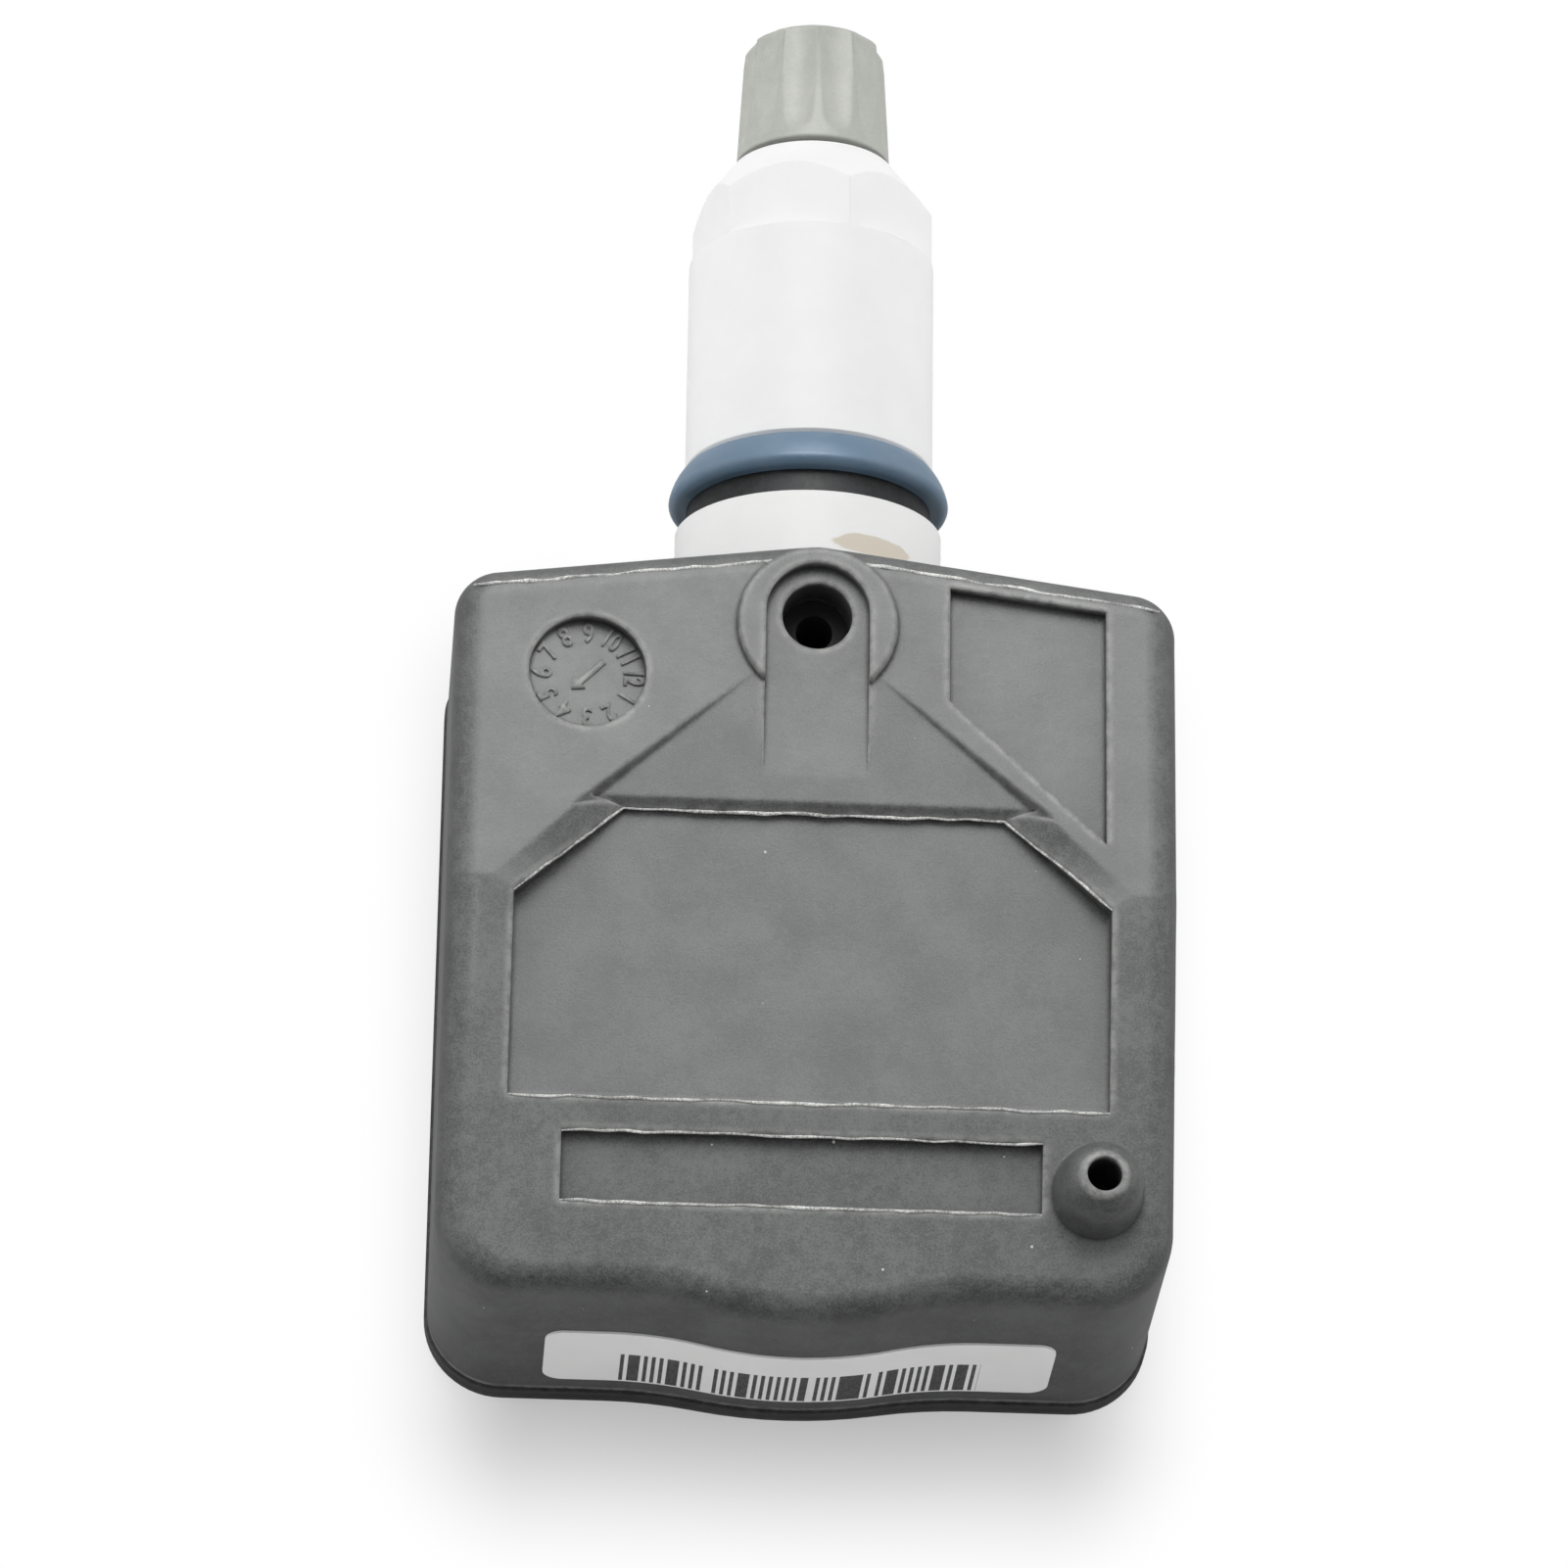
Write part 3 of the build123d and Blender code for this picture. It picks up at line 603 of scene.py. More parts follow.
@dataclass(frozen=True)
class DrawnWire(Grained):
    """Wire, strip or pressed metal, with its grain drawn out into lines along one axis."""

    roughness: float = 0.3
    stretch: Triple = (1.0, 0.05, 1.0)
    grain: float = 0.08 * MM
    grain_depth: float = 0.003 * MM
    finer_layers: Span = (2.0, 0.5)
    roughness_spread: float = 0.12
    dark_share: float = 0.84
    metallic: float = 1.0


@dataclass(frozen=True)
class BoardLaminate(Finish):
    """Circuit board: solder mask over copper tracks."""

    mask_colour: Colour = (0.02, 0.12, 0.05)
    track_colour: Colour = (0.035, 0.2, 0.08)
    track_pitch: float = 1.1 * MM
    track_span: Span = (0.2, 0.12)
    track_height: float = 0.02 * MM
    patch_size: float = 4.0 * MM
    patches_across: Span = (0.48, 0.52)
    patches_along: Span = (0.46, 0.42)
    roughness: float = 0.32
    track_dulling: float = 0.06

    def paint(self, g: Graph) -> None:
        """Paler tracks where a square lattice is kept by chance.

        Args:
            g: The material's graph.
        """
        x, y, _ = g.axes(g.place)
        cells = [number / self.track_pitch for number in (x, y)]
        across, along = [abs(cell - cell.floor() - 0.5).rise(*self.track_span) for cell in cells]
        kept = g.noise(self.patch_size, detail=1.0)
        tracks = across * kept.rise(*self.patches_across) + along * kept.rise(*self.patches_along)
        g.surface(base_color=g.mix(tracks, self.mask_colour, self.track_colour),
                  roughness=self.roughness + tracks * self.track_dulling,
                  normal=g.bump(tracks, self.track_height))


@dataclass(frozen=True)
class PrintedLabel(Finish):
    """White paper label with a row of printed bars; no words or digits."""

    low: float
    high: float
    left: float
    right: float
    paper_colour: Colour = (0.93, 0.93, 0.925)
    paper_dim: float = 0.93
    paper_clouds: float = 3.0 * MM
    ink_colour: Colour = (0.02, 0.02, 0.021)
    ink_least: float = 0.9
    ink_spread: float = 0.15
    bar_module: float = 0.21 * MM
    bar_gaps: float = 0.06
    bar_joins: float = 0.28
    fibre_size: float = 0.14 * MM
    fibre_stretch: Triple = (1.0, 1.0, 0.3)
    fibre_depth: float = 0.003 * MM
    roughness: float = 0.5
    roughness_spread: float = 0.14
    ink_gloss: float = 0.12

    def paint(self, g: Graph) -> None:
        """Every other module of the bar field is a bar.

        A few bars are left out by chance, and some modules between bars are inked too.

        Args:
            g: The material's graph.
        """
        x, _, z = g.axes(g.place)
        module = (x / self.bar_module).floor()
        noise = g.node("ShaderNodeTexWhiteNoise", {"noise_dimensions": "1D"}, {"W": module})
        odd = module - (module / 2.0).floor() * 2.0
        least = self.bar_gaps + odd * (1.0 - self.bar_joins - self.bar_gaps)
        inked = Value(g, noise.outputs["Value"]) > least
        bars = inked * x.between(self.left, self.right) * z.between(self.low, self.high)
        fibre = g.noise(self.fibre_size, place=g.stretched(self.fibre_stretch))
        clouds = g.noise(self.paper_clouds)
        paper = g.mix(clouds, scaled(self.paper_colour, self.paper_dim), self.paper_colour)
        ink = bars * (self.ink_least + fibre * self.ink_spread)
        g.surface(base_color=g.mix(ink, paper, self.ink_colour),
                  roughness=self.roughness + fibre * self.roughness_spread - bars * self.ink_gloss,
                  normal=g.bump(fibre, self.fibre_depth))


# Mesh making


def linked(name: str, data: bpy.types.ID) -> Piece:
    """A new object in the scene."""
    made = bpy.data.objects.new(name, data)
    bpy.context.scene.collection.objects.link(made)
    return made


def mesh_object(name: str, points: np.ndarray, faces: Sequence[Sequence[int]],
                material: bpy.types.Material, smooth_angle: float = 35.0) -> Piece:
    """Puts a worked-out mesh into the scene.

    Args:
        name: The piece's name.
        points: Its points, one row each.
        faces: Its faces, as rows of point numbers.
        material: Its finish.
        smooth_angle: Edges sharper than this many degrees stay hard.

    Returns:
        The new object, at the origin.
    """
    mesh = bpy.data.meshes.new(name)
    mesh.from_pydata(points.tolist(), [], [list(face) for face in faces])
    mesh.validate()
    mesh.shade_smooth()
    mesh.set_sharp_from_angle(angle=math.radians(smooth_angle))
    mesh.materials.append(material)
    return linked(name, mesh)


def tube_faces(rings: int, around: int) -> list[list[int]]:
    """Faces of a tube of rings, closed round each ring and over both ends.

    Args:
        rings: Number of rings.
        around: Points on each ring.

    Returns:
        The point numbers of each face, turned outwards for a ring that runs
        right-handed about the path.
    """
    ring = np.arange(rings - 1)[:, None] * around
    step = np.arange(around)[None, :]
    after = (step + 1) % around
    squares = [ring + step, ring + after, ring + around + after, ring + around + step]
    first, last = list(range(around)), list(range((rings - 1) * around, rings * around))
    return [*np.stack(squares, -1).reshape(-1, 4).tolist(), first[::-1], last]


def carried_profile(name: str, centres: np.ndarray, sides: np.ndarray, ups: np.ndarray,
                    profile: np.ndarray, material: bpy.types.Material) -> Piece:
    """Carries a closed profile along a path and closes both ends.

    Each point is its path point plus the profile's first number along the
    side direction and its second number along the up direction.

    Args:
        name: The piece's name.
        centres: Path points, one row each.
        sides: Side direction at each path point.
        ups: Up direction at each path point.
        profile: Offsets at each path point: rings, points, and side and up.
        material: The piece's finish.

    Returns:
        The new object.
    """
    points = centres[:, None] + profile[..., :1] * sides[:, None] + profile[..., 1:] * ups[:, None]
    return mesh_object(name, points.reshape(-1, 3), tube_faces(*profile.shape[:2]), material)


def ragged(count: int, spacing: int, seed: int) -> np.ndarray:
    """Uneven numbers along a path: chance values at knots, joined by straight lines.

    Args:
        count: Number of path points.
        spacing: Path points from one knot to the next.
        seed: Seed of the chance values.

    Returns:
        One number from 0 to 1 for each path point.
    """
    knots = np.arange(0, count + spacing, spacing)
    heights = np.random.default_rng(seed).random(len(knots))
    return np.interp(np.arange(count), knots, heights)


def at_least(least: float, share: np.ndarray) -> np.ndarray:
    """Shares from 0 to 1, moved into the range from a least value to 1."""
    return least + (1.0 - least) * share


def walked(corners: np.ndarray, step: float) -> np.ndarray:
    """Even points along a line of corners.

    Args:
        corners: Corner points, one row each.
        step: Distance between points.

    Returns:
        The points, with both ends.
    """
    lengths = np.linalg.norm(np.diff(corners, axis=0), axis=1)
    along = np.concatenate([[0.0], np.cumsum(lengths)])
    marks = np.linspace(0.0, along[-1], max(int(along[-1] / step), 2))
    return np.stack([np.interp(marks, along, corners[:, axis]) for axis in range(3)], -1)


# Sub-assemblies


class Assembly:
    """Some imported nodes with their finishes, and the pieces that are added to them."""

    finishes: dict[str, Finish]

    def build(self, nodes: dict[str, Piece]) -> list[Piece]:
        """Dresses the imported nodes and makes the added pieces.

        Args:
            nodes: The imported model's nodes.

        Returns:
            The added pieces.
        """
        self.materials = {name: finish.material() for name, finish in self.finishes.items()}
        for name, material in self.materials.items():
            for slot in nodes[name].material_slots:
                slot.material = material
        return self.pieces()

    def pieces(self) -> list[Piece]:
        """The added pieces; none, unless an assembly has its own."""
        return []


@dataclass
class MouldedShell(Assembly):
    """The housing and its base cover, with moulding flash and the date dial's marks."""

    rear_height: float = 18.7 * MM
    shoulder_setback: float = 20.1 * MM
    deck_slope: float = 8.6
    rear_rise: float = 2.5 * MM
    edge_inset: float = 1.3 * MM
    edge_drop: float = 0.13 * MM
    boss_reach: float = 1.2 * MM
    boss_height: float = 0.42 * MM
    dial_margin: float = 7.35 * MM
    dial_setback: float = 8.45 * MM
    dial_depth: float = 0.5 * MM
    numeral_circle: float = 2.42 * MM
    numeral_height: float = 1.08 * MM
    numeral_swell: float = 0.03 * MM
    numerals: int = 12
    digit_share: float = 0.7  # a digit's height over its font size
    digit_width: float = 0.85
    pair_width: float = 0.64
    mark_relief: float = 0.12 * MM
    mark_smooth_angle: float = 20.0
    arrow_length: float = 2.5 * MM
    arrow_shaft: float = 0.17 * MM
    arrow_head: float = 0.6 * MM
    arrow_barb: float = 0.8
    arrow_turn: float = 136.0
    dial_turn: float = 90.0
    dial_dip: float = 6.5
    dial_dip_turn: float = 45.0
    panel_setback: float = 15.83 * MM
    panel_side_margin: float = 3.75 * MM
    panel_corner_width: float = 5.7 * MM
    panel_corner_length: float = 5.0 * MM
    ridge_foot_drop: float = 0.75 * MM
    slot_front_setback: float = 37.08 * MM
    slot_length: float = 3.7 * MM
    slot_gap: float = 1.75 * MM
    slot_left_margin: float = 6.65 * MM
    slot_right_margin: float = 7.25 * MM
    flash_step: float = 0.12 * MM
    flash_width: float = 0.13 * MM
    flash_height: float = 0.09 * MM
    flash_sides: int = 8
    flash_fade: int = 8  # path points over which a rib dies away
    flash_least: float = 0.35
    flash_lowest: float = 0.1
    flash_wander: float = 0.9
    flash_knots: tuple[int, int, int] = (5, 23, 9)  # fine strength, coarse strength and wander
    rear_flash_size: float = 2.5
    rear_flash_seed: int = 11
    rear_flash_margin: float = 1.1 * MM
    boss_skirt: float = 1.15
    deck_flash_size: float = 1.7
    deck_flash_seed: int = 31
    deck_seed_step: int = 10
    flash: Finish = MouldedPlastic(
        "flash_plastic", (0.72, 0.72, 0.7), roughness=0.6, dust=0.0, scuff=0.0, edge_share=0.0)
    finishes: dict[str, Finish] = field(default_factory=lambda: {
        # The housing gets painted shade on its walls.
        "housing": MouldedPlastic("shell_plastic", (0.088, 0.0915, 0.09), mottle=0.42, wall_dim=0.34),
        "base_cover": MouldedPlastic(
            "cover_plastic", (0.024, 0.025, 0.024), dust=0.02, edge_share=0.1, gloss=0.3),
    })

    def __post_init__(self) -> None:
        """Reads the frame's places."""
        _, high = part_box("housing")
        base_low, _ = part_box("base_cover")
        self.rear_y = high.y
        self.side_x = high.x
        self.deck_z = base_low.z + self.rear_height
        self.shoulder_y = self.rear_y - self.shoulder_setback

    def deck_height(self, y: np.ndarray) -> np.ndarray:
        """Height of the sloped front deck."""
        return self.deck_z + (y - self.shoulder_y) * math.tan(math.radians(self.deck_slope))

    def flash_rib(self, name: str, corners: np.ndarray, seed: int, size: float) -> Piece:
        """A low ragged rib of flash that lies on the surface along a line.

        Its section is a flattened circle whose lower half is sunk in; width and
        height follow chance values, and the rib dies away at both ends.

        Args:
            name: The piece's name.
            corners: Corner points of the line, on the surface.
            seed: Seed of the chance values.
            size: Factor on width and height.

        Returns:
            The new object, riding on the housing.
        """
        centres = walked(corners, self.flash_step)
        count = len(centres)
        run = np.gradient(centres, axis=0)
        run /= np.linalg.norm(run, axis=1, keepdims=True)
        ups = np.tile((0.0, 0.0, 1.0), (count, 1))
        sides = np.cross(ups, run)
        fine, coarse, sway = [ragged(count, knots, seed + index)
                              for index, knots in enumerate(self.flash_knots)]
        steps = np.arange(count)
        fade = np.minimum(1.0, np.minimum(steps, steps[::-1]) / self.flash_fade)
        strength = fade * at_least(self.flash_least, fine) * at_least(self.flash_least, coarse)
        wander = (sway - 0.5) * self.flash_width * self.flash_wander
        width = size * self.flash_width * at_least(self.flash_least, strength)
        height = size * self.flash_height * at_least(self.flash_lowest, strength)
        angles = np.linspace(0.0, TURN, self.flash_sides, endpoint=False)
        across = wander[:, None] + width[:, None] / 2 * np.cos(angles)
        profile = np.stack([across, height[:, None] * np.sin(angles)], -1)
        made = carried_profile(name, centres, sides, ups, profile, self.flash_material)
        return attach(made, Body.HOUSING.value)

    def rear_flash(self) -> Piece:
        """Flash along the rear edge of the deck, lifted where it crosses the outlet's boss."""
        inner, outer = self.boss_reach, self.boss_reach * self.boss_skirt
        end = self.side_x - self.rear_flash_margin
        x = np.array([-end, -outer, -inner, 0.0, inner, outer, end])
        y = self.rear_y - self.edge_inset - np.abs(x) / self.side_x * self.rear_rise
        lift = self.boss_height * (np.abs(x) <= inner)
        line = np.stack([x, y, self.deck_z - self.edge_drop + lift], -1)
        return self.flash_rib("flash_rear_edge", line, self.rear_flash_seed, self.rear_flash_size)

    def deck_line(self, xs: Sequence[float], y: float) -> np.ndarray:
        """A straight line across the front deck."""
        places = np.array(xs)
        depth = np.full_like(places, y)
        return np.stack([places, depth, self.deck_height(depth)], -1)

    def ridge_foot(self, panel_half: float) -> np.ndarray:
        """The panel's rear edge and its two diagonals, along the foot of the ridge.

        Args:
            panel_half: Half of the panel's width.

        Returns:
            Four corner points, from left to right.
        """
        rear_y = self.rear_y - self.panel_setback
        corner_y = rear_y - self.panel_corner_length
        rear_half = panel_half - self.panel_corner_width
        foot_z = self.deck_z - self.ridge_foot_drop
        corner_z = self.deck_height(np.array(corner_y))
        return np.array([(-panel_half, corner_y, corner_z), (-rear_half, rear_y, foot_z),
                         (rear_half, rear_y, foot_z), (panel_half, corner_y, corner_z)])

    def deck_flash(self) -> list[Piece]:
        """Flash along the edges of the panel and the slot."""
        panel_half = self.side_x - self.panel_side_margin
        slot_left = self.slot_left_margin - self.side_x
        slot_right = self.side_x - self.slot_right_margin
        slot_front = self.rear_y - self.slot_front_setback
        slot_rear = slot_front + self.slot_length
        panel_front = slot_rear + self.slot_gap
        lines = {
            "flash_ridge_foot": self.ridge_foot(panel_half),
            "flash_panel_front": self.deck_line((-panel_half, panel_half), panel_front),
            "flash_slot_rear": self.deck_line((slot_left, slot_right), slot_rear),
            "flash_slot_front": self.deck_line((slot_left, slot_right), slot_front),
        }
        return [self.flash_rib(name, line, self.deck_flash_seed + self.deck_seed_step * index,
                               self.deck_flash_size) for index, (name, line) in enumerate(lines.items())]

    def numeral(self, number: int) -> tuple[np.ndarray, list[list[int]]]:
        """One raised numeral at its place round the turned dial, with its foot to the centre.

        Args:
            number: The numeral, from 1 up.

        Returns:
            Its points about the dial's centre, and its faces.
        """
        text = bpy.data.curves.new(f"numeral_{number}", "FONT")
        text.body = str(number)
        text.size = self.numeral_height / self.digit_share
        text.align_x = text.align_y = "CENTER"
        text.extrude = self.mark_relief
        text.offset = self.numeral_swell
        holder = linked(text.name, text)
        bpy.context.view_layer.update()
        evaluated = holder.evaluated_get(bpy.context.evaluated_depsgraph_get())
        mesh = bpy.data.meshes.new_from_object(evaluated)
        flat = np.empty(len(mesh.vertices) * 3)
        mesh.vertices.foreach_get("co", flat)
        faces = [list(face.vertices) for face in mesh.polygons]
        bpy.data.objects.remove(holder)
        bpy.data.curves.remove(text)
        bpy.data.meshes.remove(mesh)
        width = self.digit_width if number < 10 else self.pair_width
        spot = flat.reshape(-1, 3) * (width, 1.0, 1.0) + (0.0, self.numeral_circle, 0.0)
        turn = -TURN * number / self.numerals - math.radians(self.dial_turn)
        return spot @ np.array(Matrix.Rotation(turn, 3, "Z")).T, faces

    def dial_numerals(self) -> Piece:
        """All the dial's numerals as one piece."""
        points: list[np.ndarray] = []
        faces: list[list[int]] = []
        start = 0
        for number in range(1, self.numerals + 1):
            spot, own_faces = self.numeral(number)
            points.append(spot)
            faces += [[start + corner for corner in face] for face in own_faces]
            start += len(spot)
        return self.dial_mark("dial_numerals", np.concatenate(points), faces)

    def dial_arrow(self) -> Piece:
        """Raised arrow in the middle of the date dial."""
        half, shaft = self.arrow_length / 2, self.arrow_shaft
        neck, barb = half - self.arrow_head, self.arrow_head * self.arrow_barb
        outline = np.array([(-shaft, -half), (shaft, -half), (shaft, neck), (barb, neck),
                            (0.0, half), (-barb, neck), (-shaft, neck)])
        count = len(outline)
        turned = outline @ np.array(Matrix.Rotation(math.radians(self.arrow_turn), 2)).T
        layers = [np.column_stack([turned, np.full(count, level)])
                  for level in (-self.mark_relief, self.mark_relief)]
        return self.dial_mark("dial_arrow", np.concatenate(layers), tube_faces(len(layers), count))

    def dial_mark(self, name: str, points: np.ndarray, faces: list[list[int]]) -> Piece:
        """Sets a raised mark on the dial's floor, which dips to one side.

        Args:
            name: The piece's name.
            points: Its points about the dial's centre.
            faces: Its faces.

        Returns:
            The new object, riding on the housing.
        """
        centre = np.array((self.dial_margin - self.side_x, self.rear_y - self.dial_setback,
                           self.deck_z - self.dial_depth))
        towards = Matrix.Rotation(math.radians(-self.dial_dip_turn), 3, "Z")
        dip = towards @ Matrix.Rotation(math.radians(-self.dial_dip), 3, "X") @ towards.inverted()
        made = mesh_object(name, points @ np.array(dip).T + centre, faces, self.materials["housing"],
                           self.mark_smooth_angle)
        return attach(made, Body.HOUSING.value)

    def pieces(self) -> list[Piece]:
        """The flash and the dial's marks."""
        self.flash_material = self.flash.material()
        return [self.rear_flash(), *self.deck_flash(), self.dial_numerals(), self.dial_arrow()]


@dataclass
class FrontLabel(Assembly):
    """The label on the front wall."""

    bar_left: float = -9.4 * MM
    bar_right: float = 10.1 * MM
    bar_share: float = 0.58
    foot: float = 0.15 * MM

    def __post_init__(self) -> None:
        """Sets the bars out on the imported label."""
        low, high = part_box("barcode_label")
        top = low.z + self.bar_share * (high.z - low.z)
        label = PrintedLabel("label_print", low.z + self.foot, top, self.bar_left, self.bar_right)
        self.finishes = {"barcode_label": label}


@dataclass
class ClampStem(Assembly):
    """The valve stem with its rings, nut and cap, and the thread on its tip."""

    thread_pitch: float = 0.794 * MM
    thread_root: float = 3.24 * MM
    thread_crest: float = 3.57 * MM
    thread_foot_y: float = 18.35 * MM
    thread_top_y: float = 22.9 * MM
    thread_sink: float = 0.03 * MM
    foot_share: float = 0.46  # half widths of the ridge over the pitch
    crest_share: float = 0.1
    points_per_turn: int = 96
    finishes: dict[str, Finish] = field(default_factory=lambda: {
        "valve_stem": StainedMetal(
            "stem_metal", (0.81, 0.81, 0.805), roughness=0.55, metallic=0.02, gloss=0.15),
        "hex_nut": TurnedMetal("nut_metal", (0.81, 0.81, 0.81), roughness=0.55, metallic=0.02, gloss=0.15),
        "backing_ring": MouldedPlastic(
            "backing_plastic", (0.016, 0.017, 0.018), dust=0.0, scuff=0.2, edge_share=0.05, gloss=0.3),
        "rim_grommet": Rubber("grommet_rubber", (0.1, 0.165, 0.238), bloom=0.08),
        "valve_cap": MouldedPlastic(
            "cap_plastic", (0.38, 0.39, 0.357), roughness=0.5, edge_share=0.2,
            edge_colour=(0.55, 0.55, 0.52), dust=0.02, scuff=0.2, gloss=0.5, mottle=0.06),
        "cap_gasket": Rubber("gasket_rubber", (0.025, 0.025, 0.025), bloom=0.05),
    })

    def tip_thread(self) -> Piece:
        """Right-handed thread on the tip: a four-sided ridge carried along a helix.

        The crest fades down to the root over the first and last half turn.

        Returns:
            The new object, riding on the housing.
        """
        turns = (self.thread_top_y - self.thread_foot_y) / self.thread_pitch - 1.0
        angle = np.linspace(0.0, TURN * turns, int(turns * self.points_per_turn))
        y = self.thread_foot_y + (angle / TURN + 0.5) * self.thread_pitch
        ups = np.stack([np.sin(angle), np.zeros_like(angle), np.cos(angle)], -1)
        centres = np.stack([np.zeros_like(y), y, np.zeros_like(y)], -1)
        sides = np.tile((0.0, 1.0, 0.0), (len(angle), 1))
        fade = np.clip(np.minimum(angle, angle[-1] - angle) / np.pi, 0.0, 1.0)
        crest = self.thread_root + (self.thread_crest - self.thread_root) * fade
        foot = np.full_like(angle, self.thread_root - self.thread_sink)
        wide, narrow = self.foot_share * self.thread_pitch, self.crest_share * self.thread_pitch
        corners = [(wide, foot), (narrow, crest), (-narrow, crest), (-wide, foot)]
        profile = np.stack([np.stack([np.full_like(angle, side), radius], -1) for side, radius in corners], 1)
        made = carried_profile("tip_thread", centres, sides, ups, profile, self.materials["valve_stem"])
        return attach(made, Body.HOUSING.value)

    def pieces(self) -> list[Piece]:
        """The tip's thread."""
        return [self.tip_thread()]


@dataclass
class InnerWorks(Assembly):
    """The valve core and the electronics, which the closed housing hides."""

    spring_radius: float = 1.0 * MM
    spring_wire: float = 0.3 * MM
    spring_turns: int = 6
    points_per_turn: int = 40
    wire_sides: int = 12
    finishes: dict[str, Finish] = field(default_factory=lambda: {
        "core_barrel": TurnedMetal("core_brass", (0.72, 0.53, 0.25), roughness=0.3),
        "core_seal": Rubber("core_seal_plastic", (0.5, 0.04, 0.03), bloom=0.05),
        "core_pin": TurnedMetal("pin_brass", (0.76, 0.58, 0.3), roughness=0.28),
        "pin_seal": Rubber("pin_rubber", (0.025, 0.025, 0.025), bloom=0.05),
        "core_spring": DrawnWire("spring_steel", (0.6, 0.6, 0.61)),
        "circuit_board": BoardLaminate("board_laminate"),
        "battery_cell": DrawnWire("battery_steel", (0.66, 0.66, 0.66), 0.32),
        "battery_tab_negative": DrawnWire("tab_steel_negative", (0.62, 0.62, 0.6)),
        "battery_tab_positive": DrawnWire("tab_steel_positive", (0.62, 0.62, 0.6)),
        "pressure_sensor_chip": MouldedPlastic("sensor_plastic", (0.022, 0.022, 0.024), dust=0.0),
        "transmitter_chip": MouldedPlastic("chip_plastic", (0.02, 0.02, 0.022), dust=0.0),
        "pressure_port_seal": Rubber("port_rubber", (0.2, 0.2, 0.2)),
        "quartz_crystal": DrawnWire("crystal_steel", (0.7, 0.7, 0.7), 0.25),
        "coil_core": Grained("ferrite", (0.045, 0.045, 0.05)),
        "coil_winding": DrawnWire("copper_wire", (0.62, 0.26, 0.1), 0.25, (0.05, 1.0, 1.0)),
        "loop_antenna": DrawnWire("antenna_wire", (0.68, 0.4, 0.22), 0.25),
        "capacitors": Grained("capacitor_ceramic", (0.4, 0.3, 0.19)),
    })

    def pressed_spring(self) -> Piece:
        """The core's spring: a round wire carried along a helix.

        Each ring of the wire stands across its run; the foot sits at the
        barrel's lip and the top at the pin's collar.

        Returns:
            The new object, in place of the imported spring, which is hidden.
        """
        low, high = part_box("core_spring")
        foot, top = low.y + self.spring_wire / 2, high.y - self.spring_wire / 2
        count = self.spring_turns * self.points_per_turn + 1
        angle = np.linspace(0.0, TURN * self.spring_turns, count)
        ups = np.stack([np.cos(angle), np.zeros_like(angle), -np.sin(angle)], -1)
        centres = self.spring_radius * ups + np.linspace(foot, top, count)[:, None] * (0.0, 1.0, 0.0)
        run = np.gradient(centres, axis=0)
        sides = np.cross(ups, run) / np.linalg.norm(run, axis=1, keepdims=True)
        around = np.linspace(0.0, TURN, self.wire_sides, endpoint=False)
        ring = self.spring_wire / 2 * np.stack([np.cos(around), np.sin(around)], -1)
        profile = np.tile(ring, (count, 1, 1))
        made = carried_profile("pressed_spring", centres, sides, ups, profile, self.materials["core_spring"])
        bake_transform(made)
        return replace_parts(made, "core_spring")

    def pieces(self) -> list[Piece]:
        """The spring."""
        return [self.pressed_spring()]


# Studio


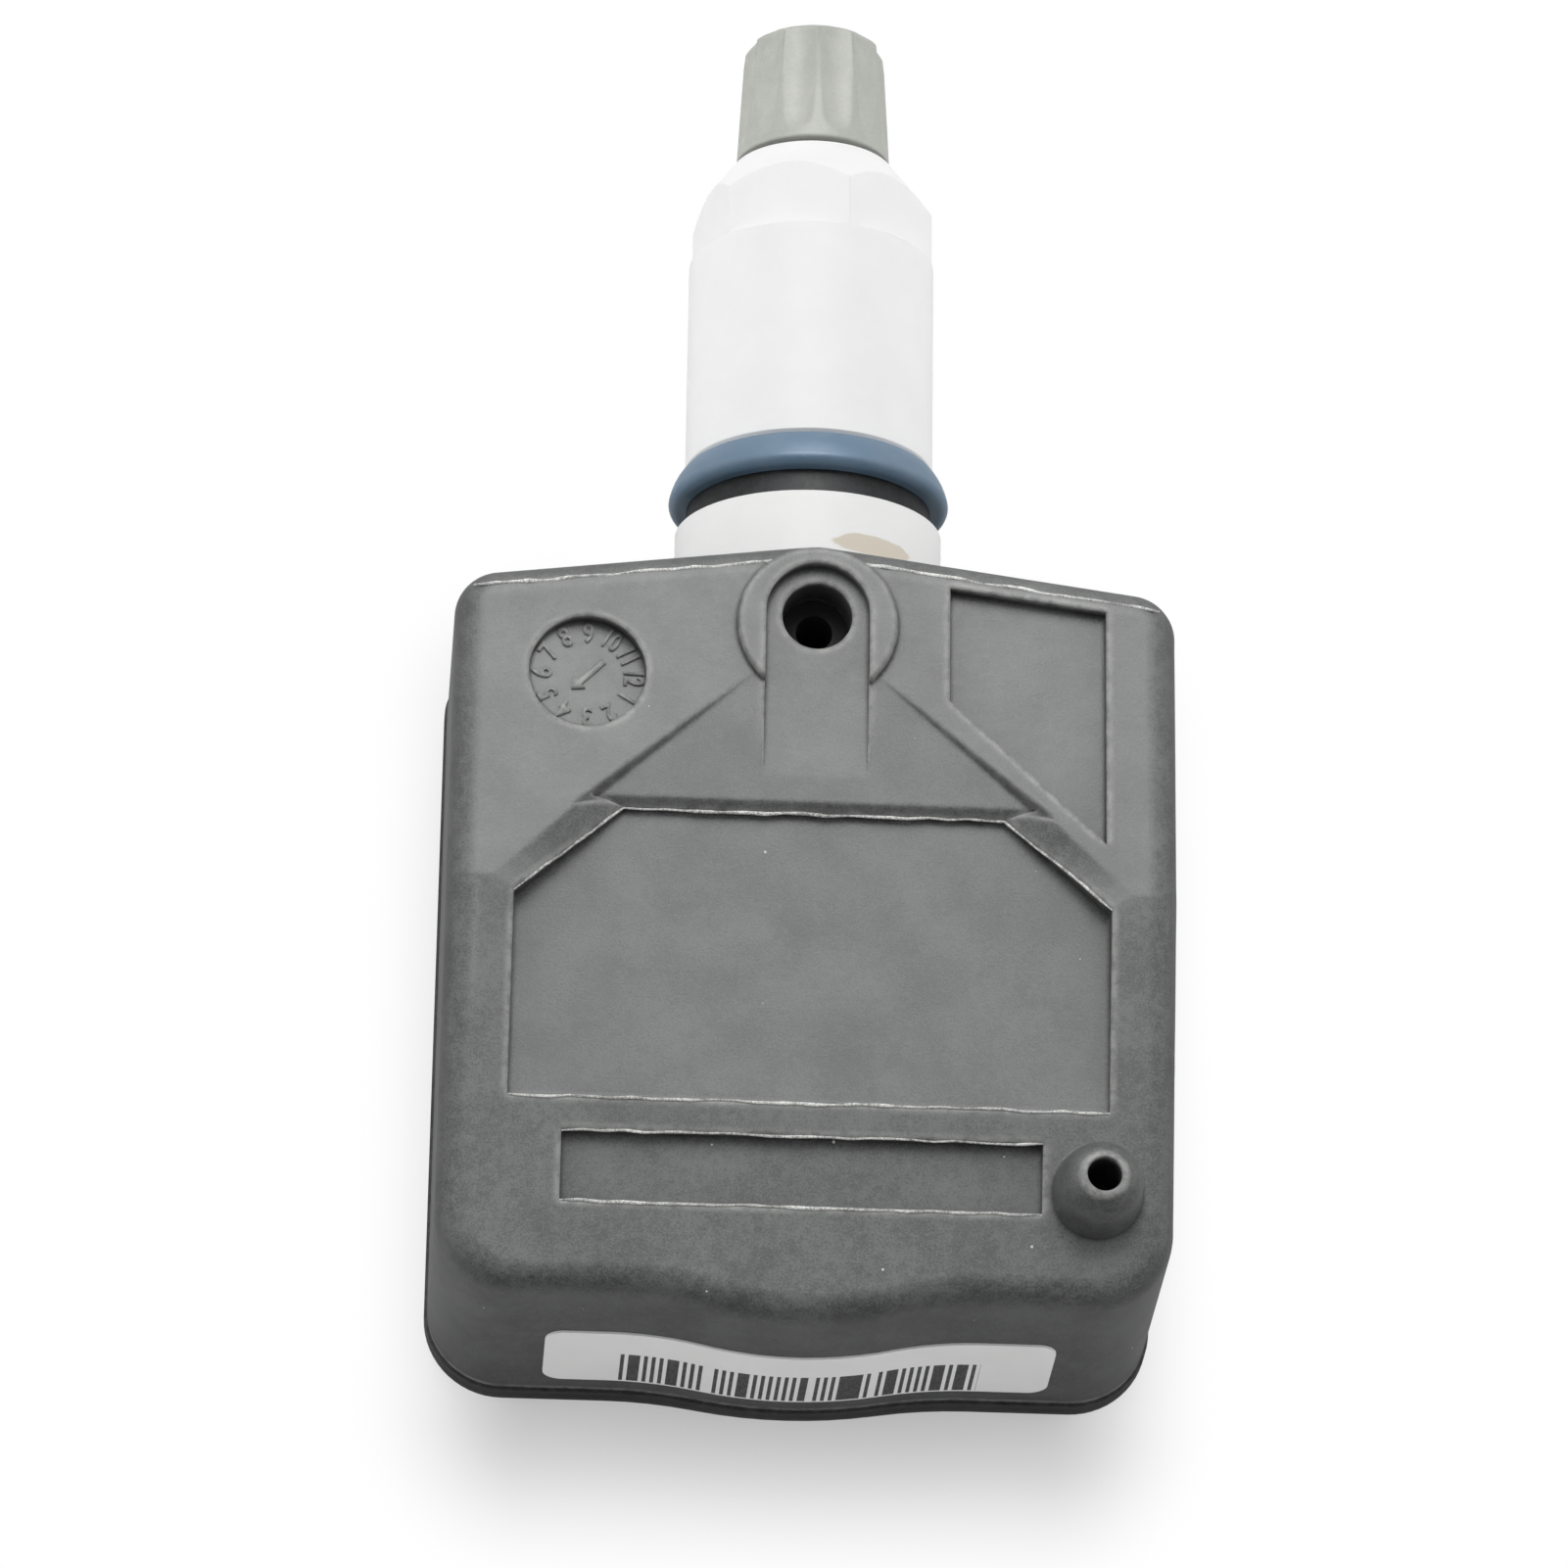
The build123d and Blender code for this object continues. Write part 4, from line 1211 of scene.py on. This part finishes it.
@dataclass
class Studio:
    """Floor, light and camera."""

    floor_half: float = 0.9
    floor_colour: Colour = (0.72, 0.72, 0.72)
    floor_haze: float = 0.33
    shadow_reach: float = 10.5 * MM
    shadow_side_inset: float = 6.0 * MM
    shadow_rear_inset: float = 4.0 * MM
    world_fill: float = 0.56
    fill_dim: float = 0.52
    top_dim: float = 0.7
    rear_dim: float = 0.4
    side_lift: float = 4.5
    front_dim: float = 0.97
    front_span: Span = (0.2, -0.4)
    rear_span: Span = (0.2, 0.8)
    side_span: Span = (0.3, 0.9)
    top_span: Span = (0.45, 0.85)
    panel_elevation: float = 56.0
    panel_span: Span = (0.86, 0.99)
    panel_gain: float = 6.4
    key_elevation: float = 56.0
    key_azimuth: float = -6.0
    key_distance: float = 0.55
    key_size: float = 0.3
    key_power: float = 1.4
    lens: float = 145.93
    sensor: float = 36.0
    camera_turn: float = -3.513
    camera_pitch: float = 70.0
    camera_roll: float = 0.841
    camera_target: Triple = (-1.612 * MM, -20.938 * MM, 8.0 * MM)
    camera_distance: float = 0.34
    camera_clip: Span = (0.01, 10.0)

    def build(self) -> None:
        """Sets up the floor, the world, the key light and the camera."""
        bpy.context.scene.view_settings.view_transform = "Standard"
        self.floor()
        self.world()
        self.key_light()
        self.camera()

    def floor(self) -> None:
        """Plain pale floor under the base: it keeps the shadow near the object and is white far out."""
        low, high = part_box("housing")
        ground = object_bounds()[0].z
        half = self.floor_half
        sheet = np.array([(-half, -half, ground), (half, -half, ground),
                          (half, half, ground), (-half, half, ground)])
        material, g = new_material("studio_floor")
        x, y, _ = g.axes(g.place)
        side = (high.x - low.x) / 2 - self.shadow_side_inset
        rear = high.y - self.shadow_rear_inset
        across = g.math("MAXIMUM", abs(x - (low.x + high.x) / 2) - side, 0.0)
        along = g.math("MAXIMUM", abs(y - (low.y + rear) / 2) - (rear - low.y) / 2, 0.0)
        seen, clear = g.rays("Camera", "Transmission")
        far = g.math("SQRT", across * across + along * along).rise(0.0, self.shadow_reach)
        cloth = g.node("ShaderNodeBsdfDiffuse", inputs={"Color": self.floor_colour})
        white = g.node("ShaderNodeEmission", inputs={"Color": WHITE, "Strength": 1.0})
        factor = g.math("MAXIMUM", seen, clear) * far + seen * (1.0 - far) * self.floor_haze
        mixed = g.node("ShaderNodeMixShader", inputs={0: factor, 1: cloth.outputs[0], 2: white.outputs[0]})
        g.node("ShaderNodeOutputMaterial", inputs={"Surface": mixed.outputs[0]})
        made = mesh_object("studio_floor", sheet, [(0, 1, 2, 3)], material)
        made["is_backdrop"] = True

    def world(self) -> None:
        """White surroundings for the camera, a fill for matt surfaces, and what glossy ones mirror.

        The fill is dimmer in front, behind and overhead and brighter at both sides.
        Reflections find a dim front and a bright panel overhead.
        """
        world = bpy.data.worlds.new("studio_world")
        world.use_nodes = True
        bpy.context.scene.world = world
        g = Graph(world.node_tree)
        camera, glossy, clear = g.rays("Camera", "Glossy", "Transmission")
        across, behind, above = g.axes(g.node("ShaderNodeTexCoord").outputs["Generated"])
        front = behind.rise(*self.front_span)
        sides = 1.0 + abs(across).rise(*self.side_span) * self.side_lift
        fill = sides * (1.0 - front * self.fill_dim) * (1.0 - behind.rise(*self.rear_span) * self.rear_dim)
        fill = fill * (1.0 - above.rise(*self.top_span) * self.top_dim) * self.world_fill
        tilt = math.radians(self.panel_elevation)
        panel = (behind * math.cos(tilt) + above * math.sin(tilt)).rise(*self.panel_span)
        mirror = 1.0 - front * self.front_dim + panel * self.panel_gain
        mirrored = g.math("MINIMUM", glossy + clear, 1.0)
        around = fill * (1.0 - mirrored) + mirror * mirrored
        strength = around * (1.0 - camera) + camera
        sky = g.node("ShaderNodeBackground", inputs={"Color": WHITE, "Strength": strength})
        g.node("ShaderNodeOutputWorld", inputs={"Surface": sky.outputs[0]})

    def key_light(self) -> None:
        """One large soft box above and behind the object."""
        lamp = bpy.data.lights.new("key_soft_box", "AREA")
        lamp.shape = "SQUARE"
        lamp.size = self.key_size
        lamp.energy = self.key_power
        made = linked("key_soft_box", lamp)
        rise, turn = math.radians(self.key_elevation), math.radians(self.key_azimuth)
        towards = Vector((math.sin(turn) * math.cos(rise), math.cos(turn) * math.cos(rise), math.sin(rise)))
        made.location = Vector(self.camera_target) + towards * self.key_distance
        made.rotation_mode = "QUATERNION"
        made.rotation_quaternion = towards.to_track_quat("Z", "Y")

    def camera(self) -> None:
        """Camera at the photograph's angle: turned about Y, tipped down, and rolled about its own axis."""
        turn = Matrix.Rotation(math.radians(self.camera_turn), 3, "Y")
        pitch, roll = math.radians(self.camera_pitch), math.radians(self.camera_roll)
        forward = turn @ Vector((0.0, math.cos(pitch), -math.sin(pitch)))
        right = turn @ Vector((1.0, 0.0, 0.0))
        up = right.cross(forward)
        rolled_right = right * math.cos(roll) + up * math.sin(roll)
        rolled_up = up * math.cos(roll) - right * math.sin(roll)
        data = bpy.data.cameras.new("photo_camera")
        data.lens = self.lens
        data.sensor_width = self.sensor
        data.clip_start, data.clip_end = self.camera_clip
        made = linked("photo_camera", data)
        axes = Matrix((rolled_right, rolled_up, -forward)).transposed()
        spot = Vector(self.camera_target) - forward * self.camera_distance
        made.matrix_world = Matrix.Translation(spot) @ axes.to_4x4()
        bpy.context.scene.camera = made


def corners(box: tuple[Vector, Vector]) -> list[list[float]]:
    """A box's two corners as plain lists."""
    return [list(corner) for corner in box]


def main() -> None:
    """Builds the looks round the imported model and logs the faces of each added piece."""
    logging.basicConfig(level=logging.INFO, format="%(name)s: %(message)s")
    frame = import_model()
    for assembly in (MouldedShell(), FrontLabel(), ClampStem(), InnerWorks()):
        for piece in assembly.build(frame["nodes"]):
            LOG.info("%s has %d faces", piece.name, len(piece.data.polygons))
    Studio().build()


if __name__ == "__main__":
    main()
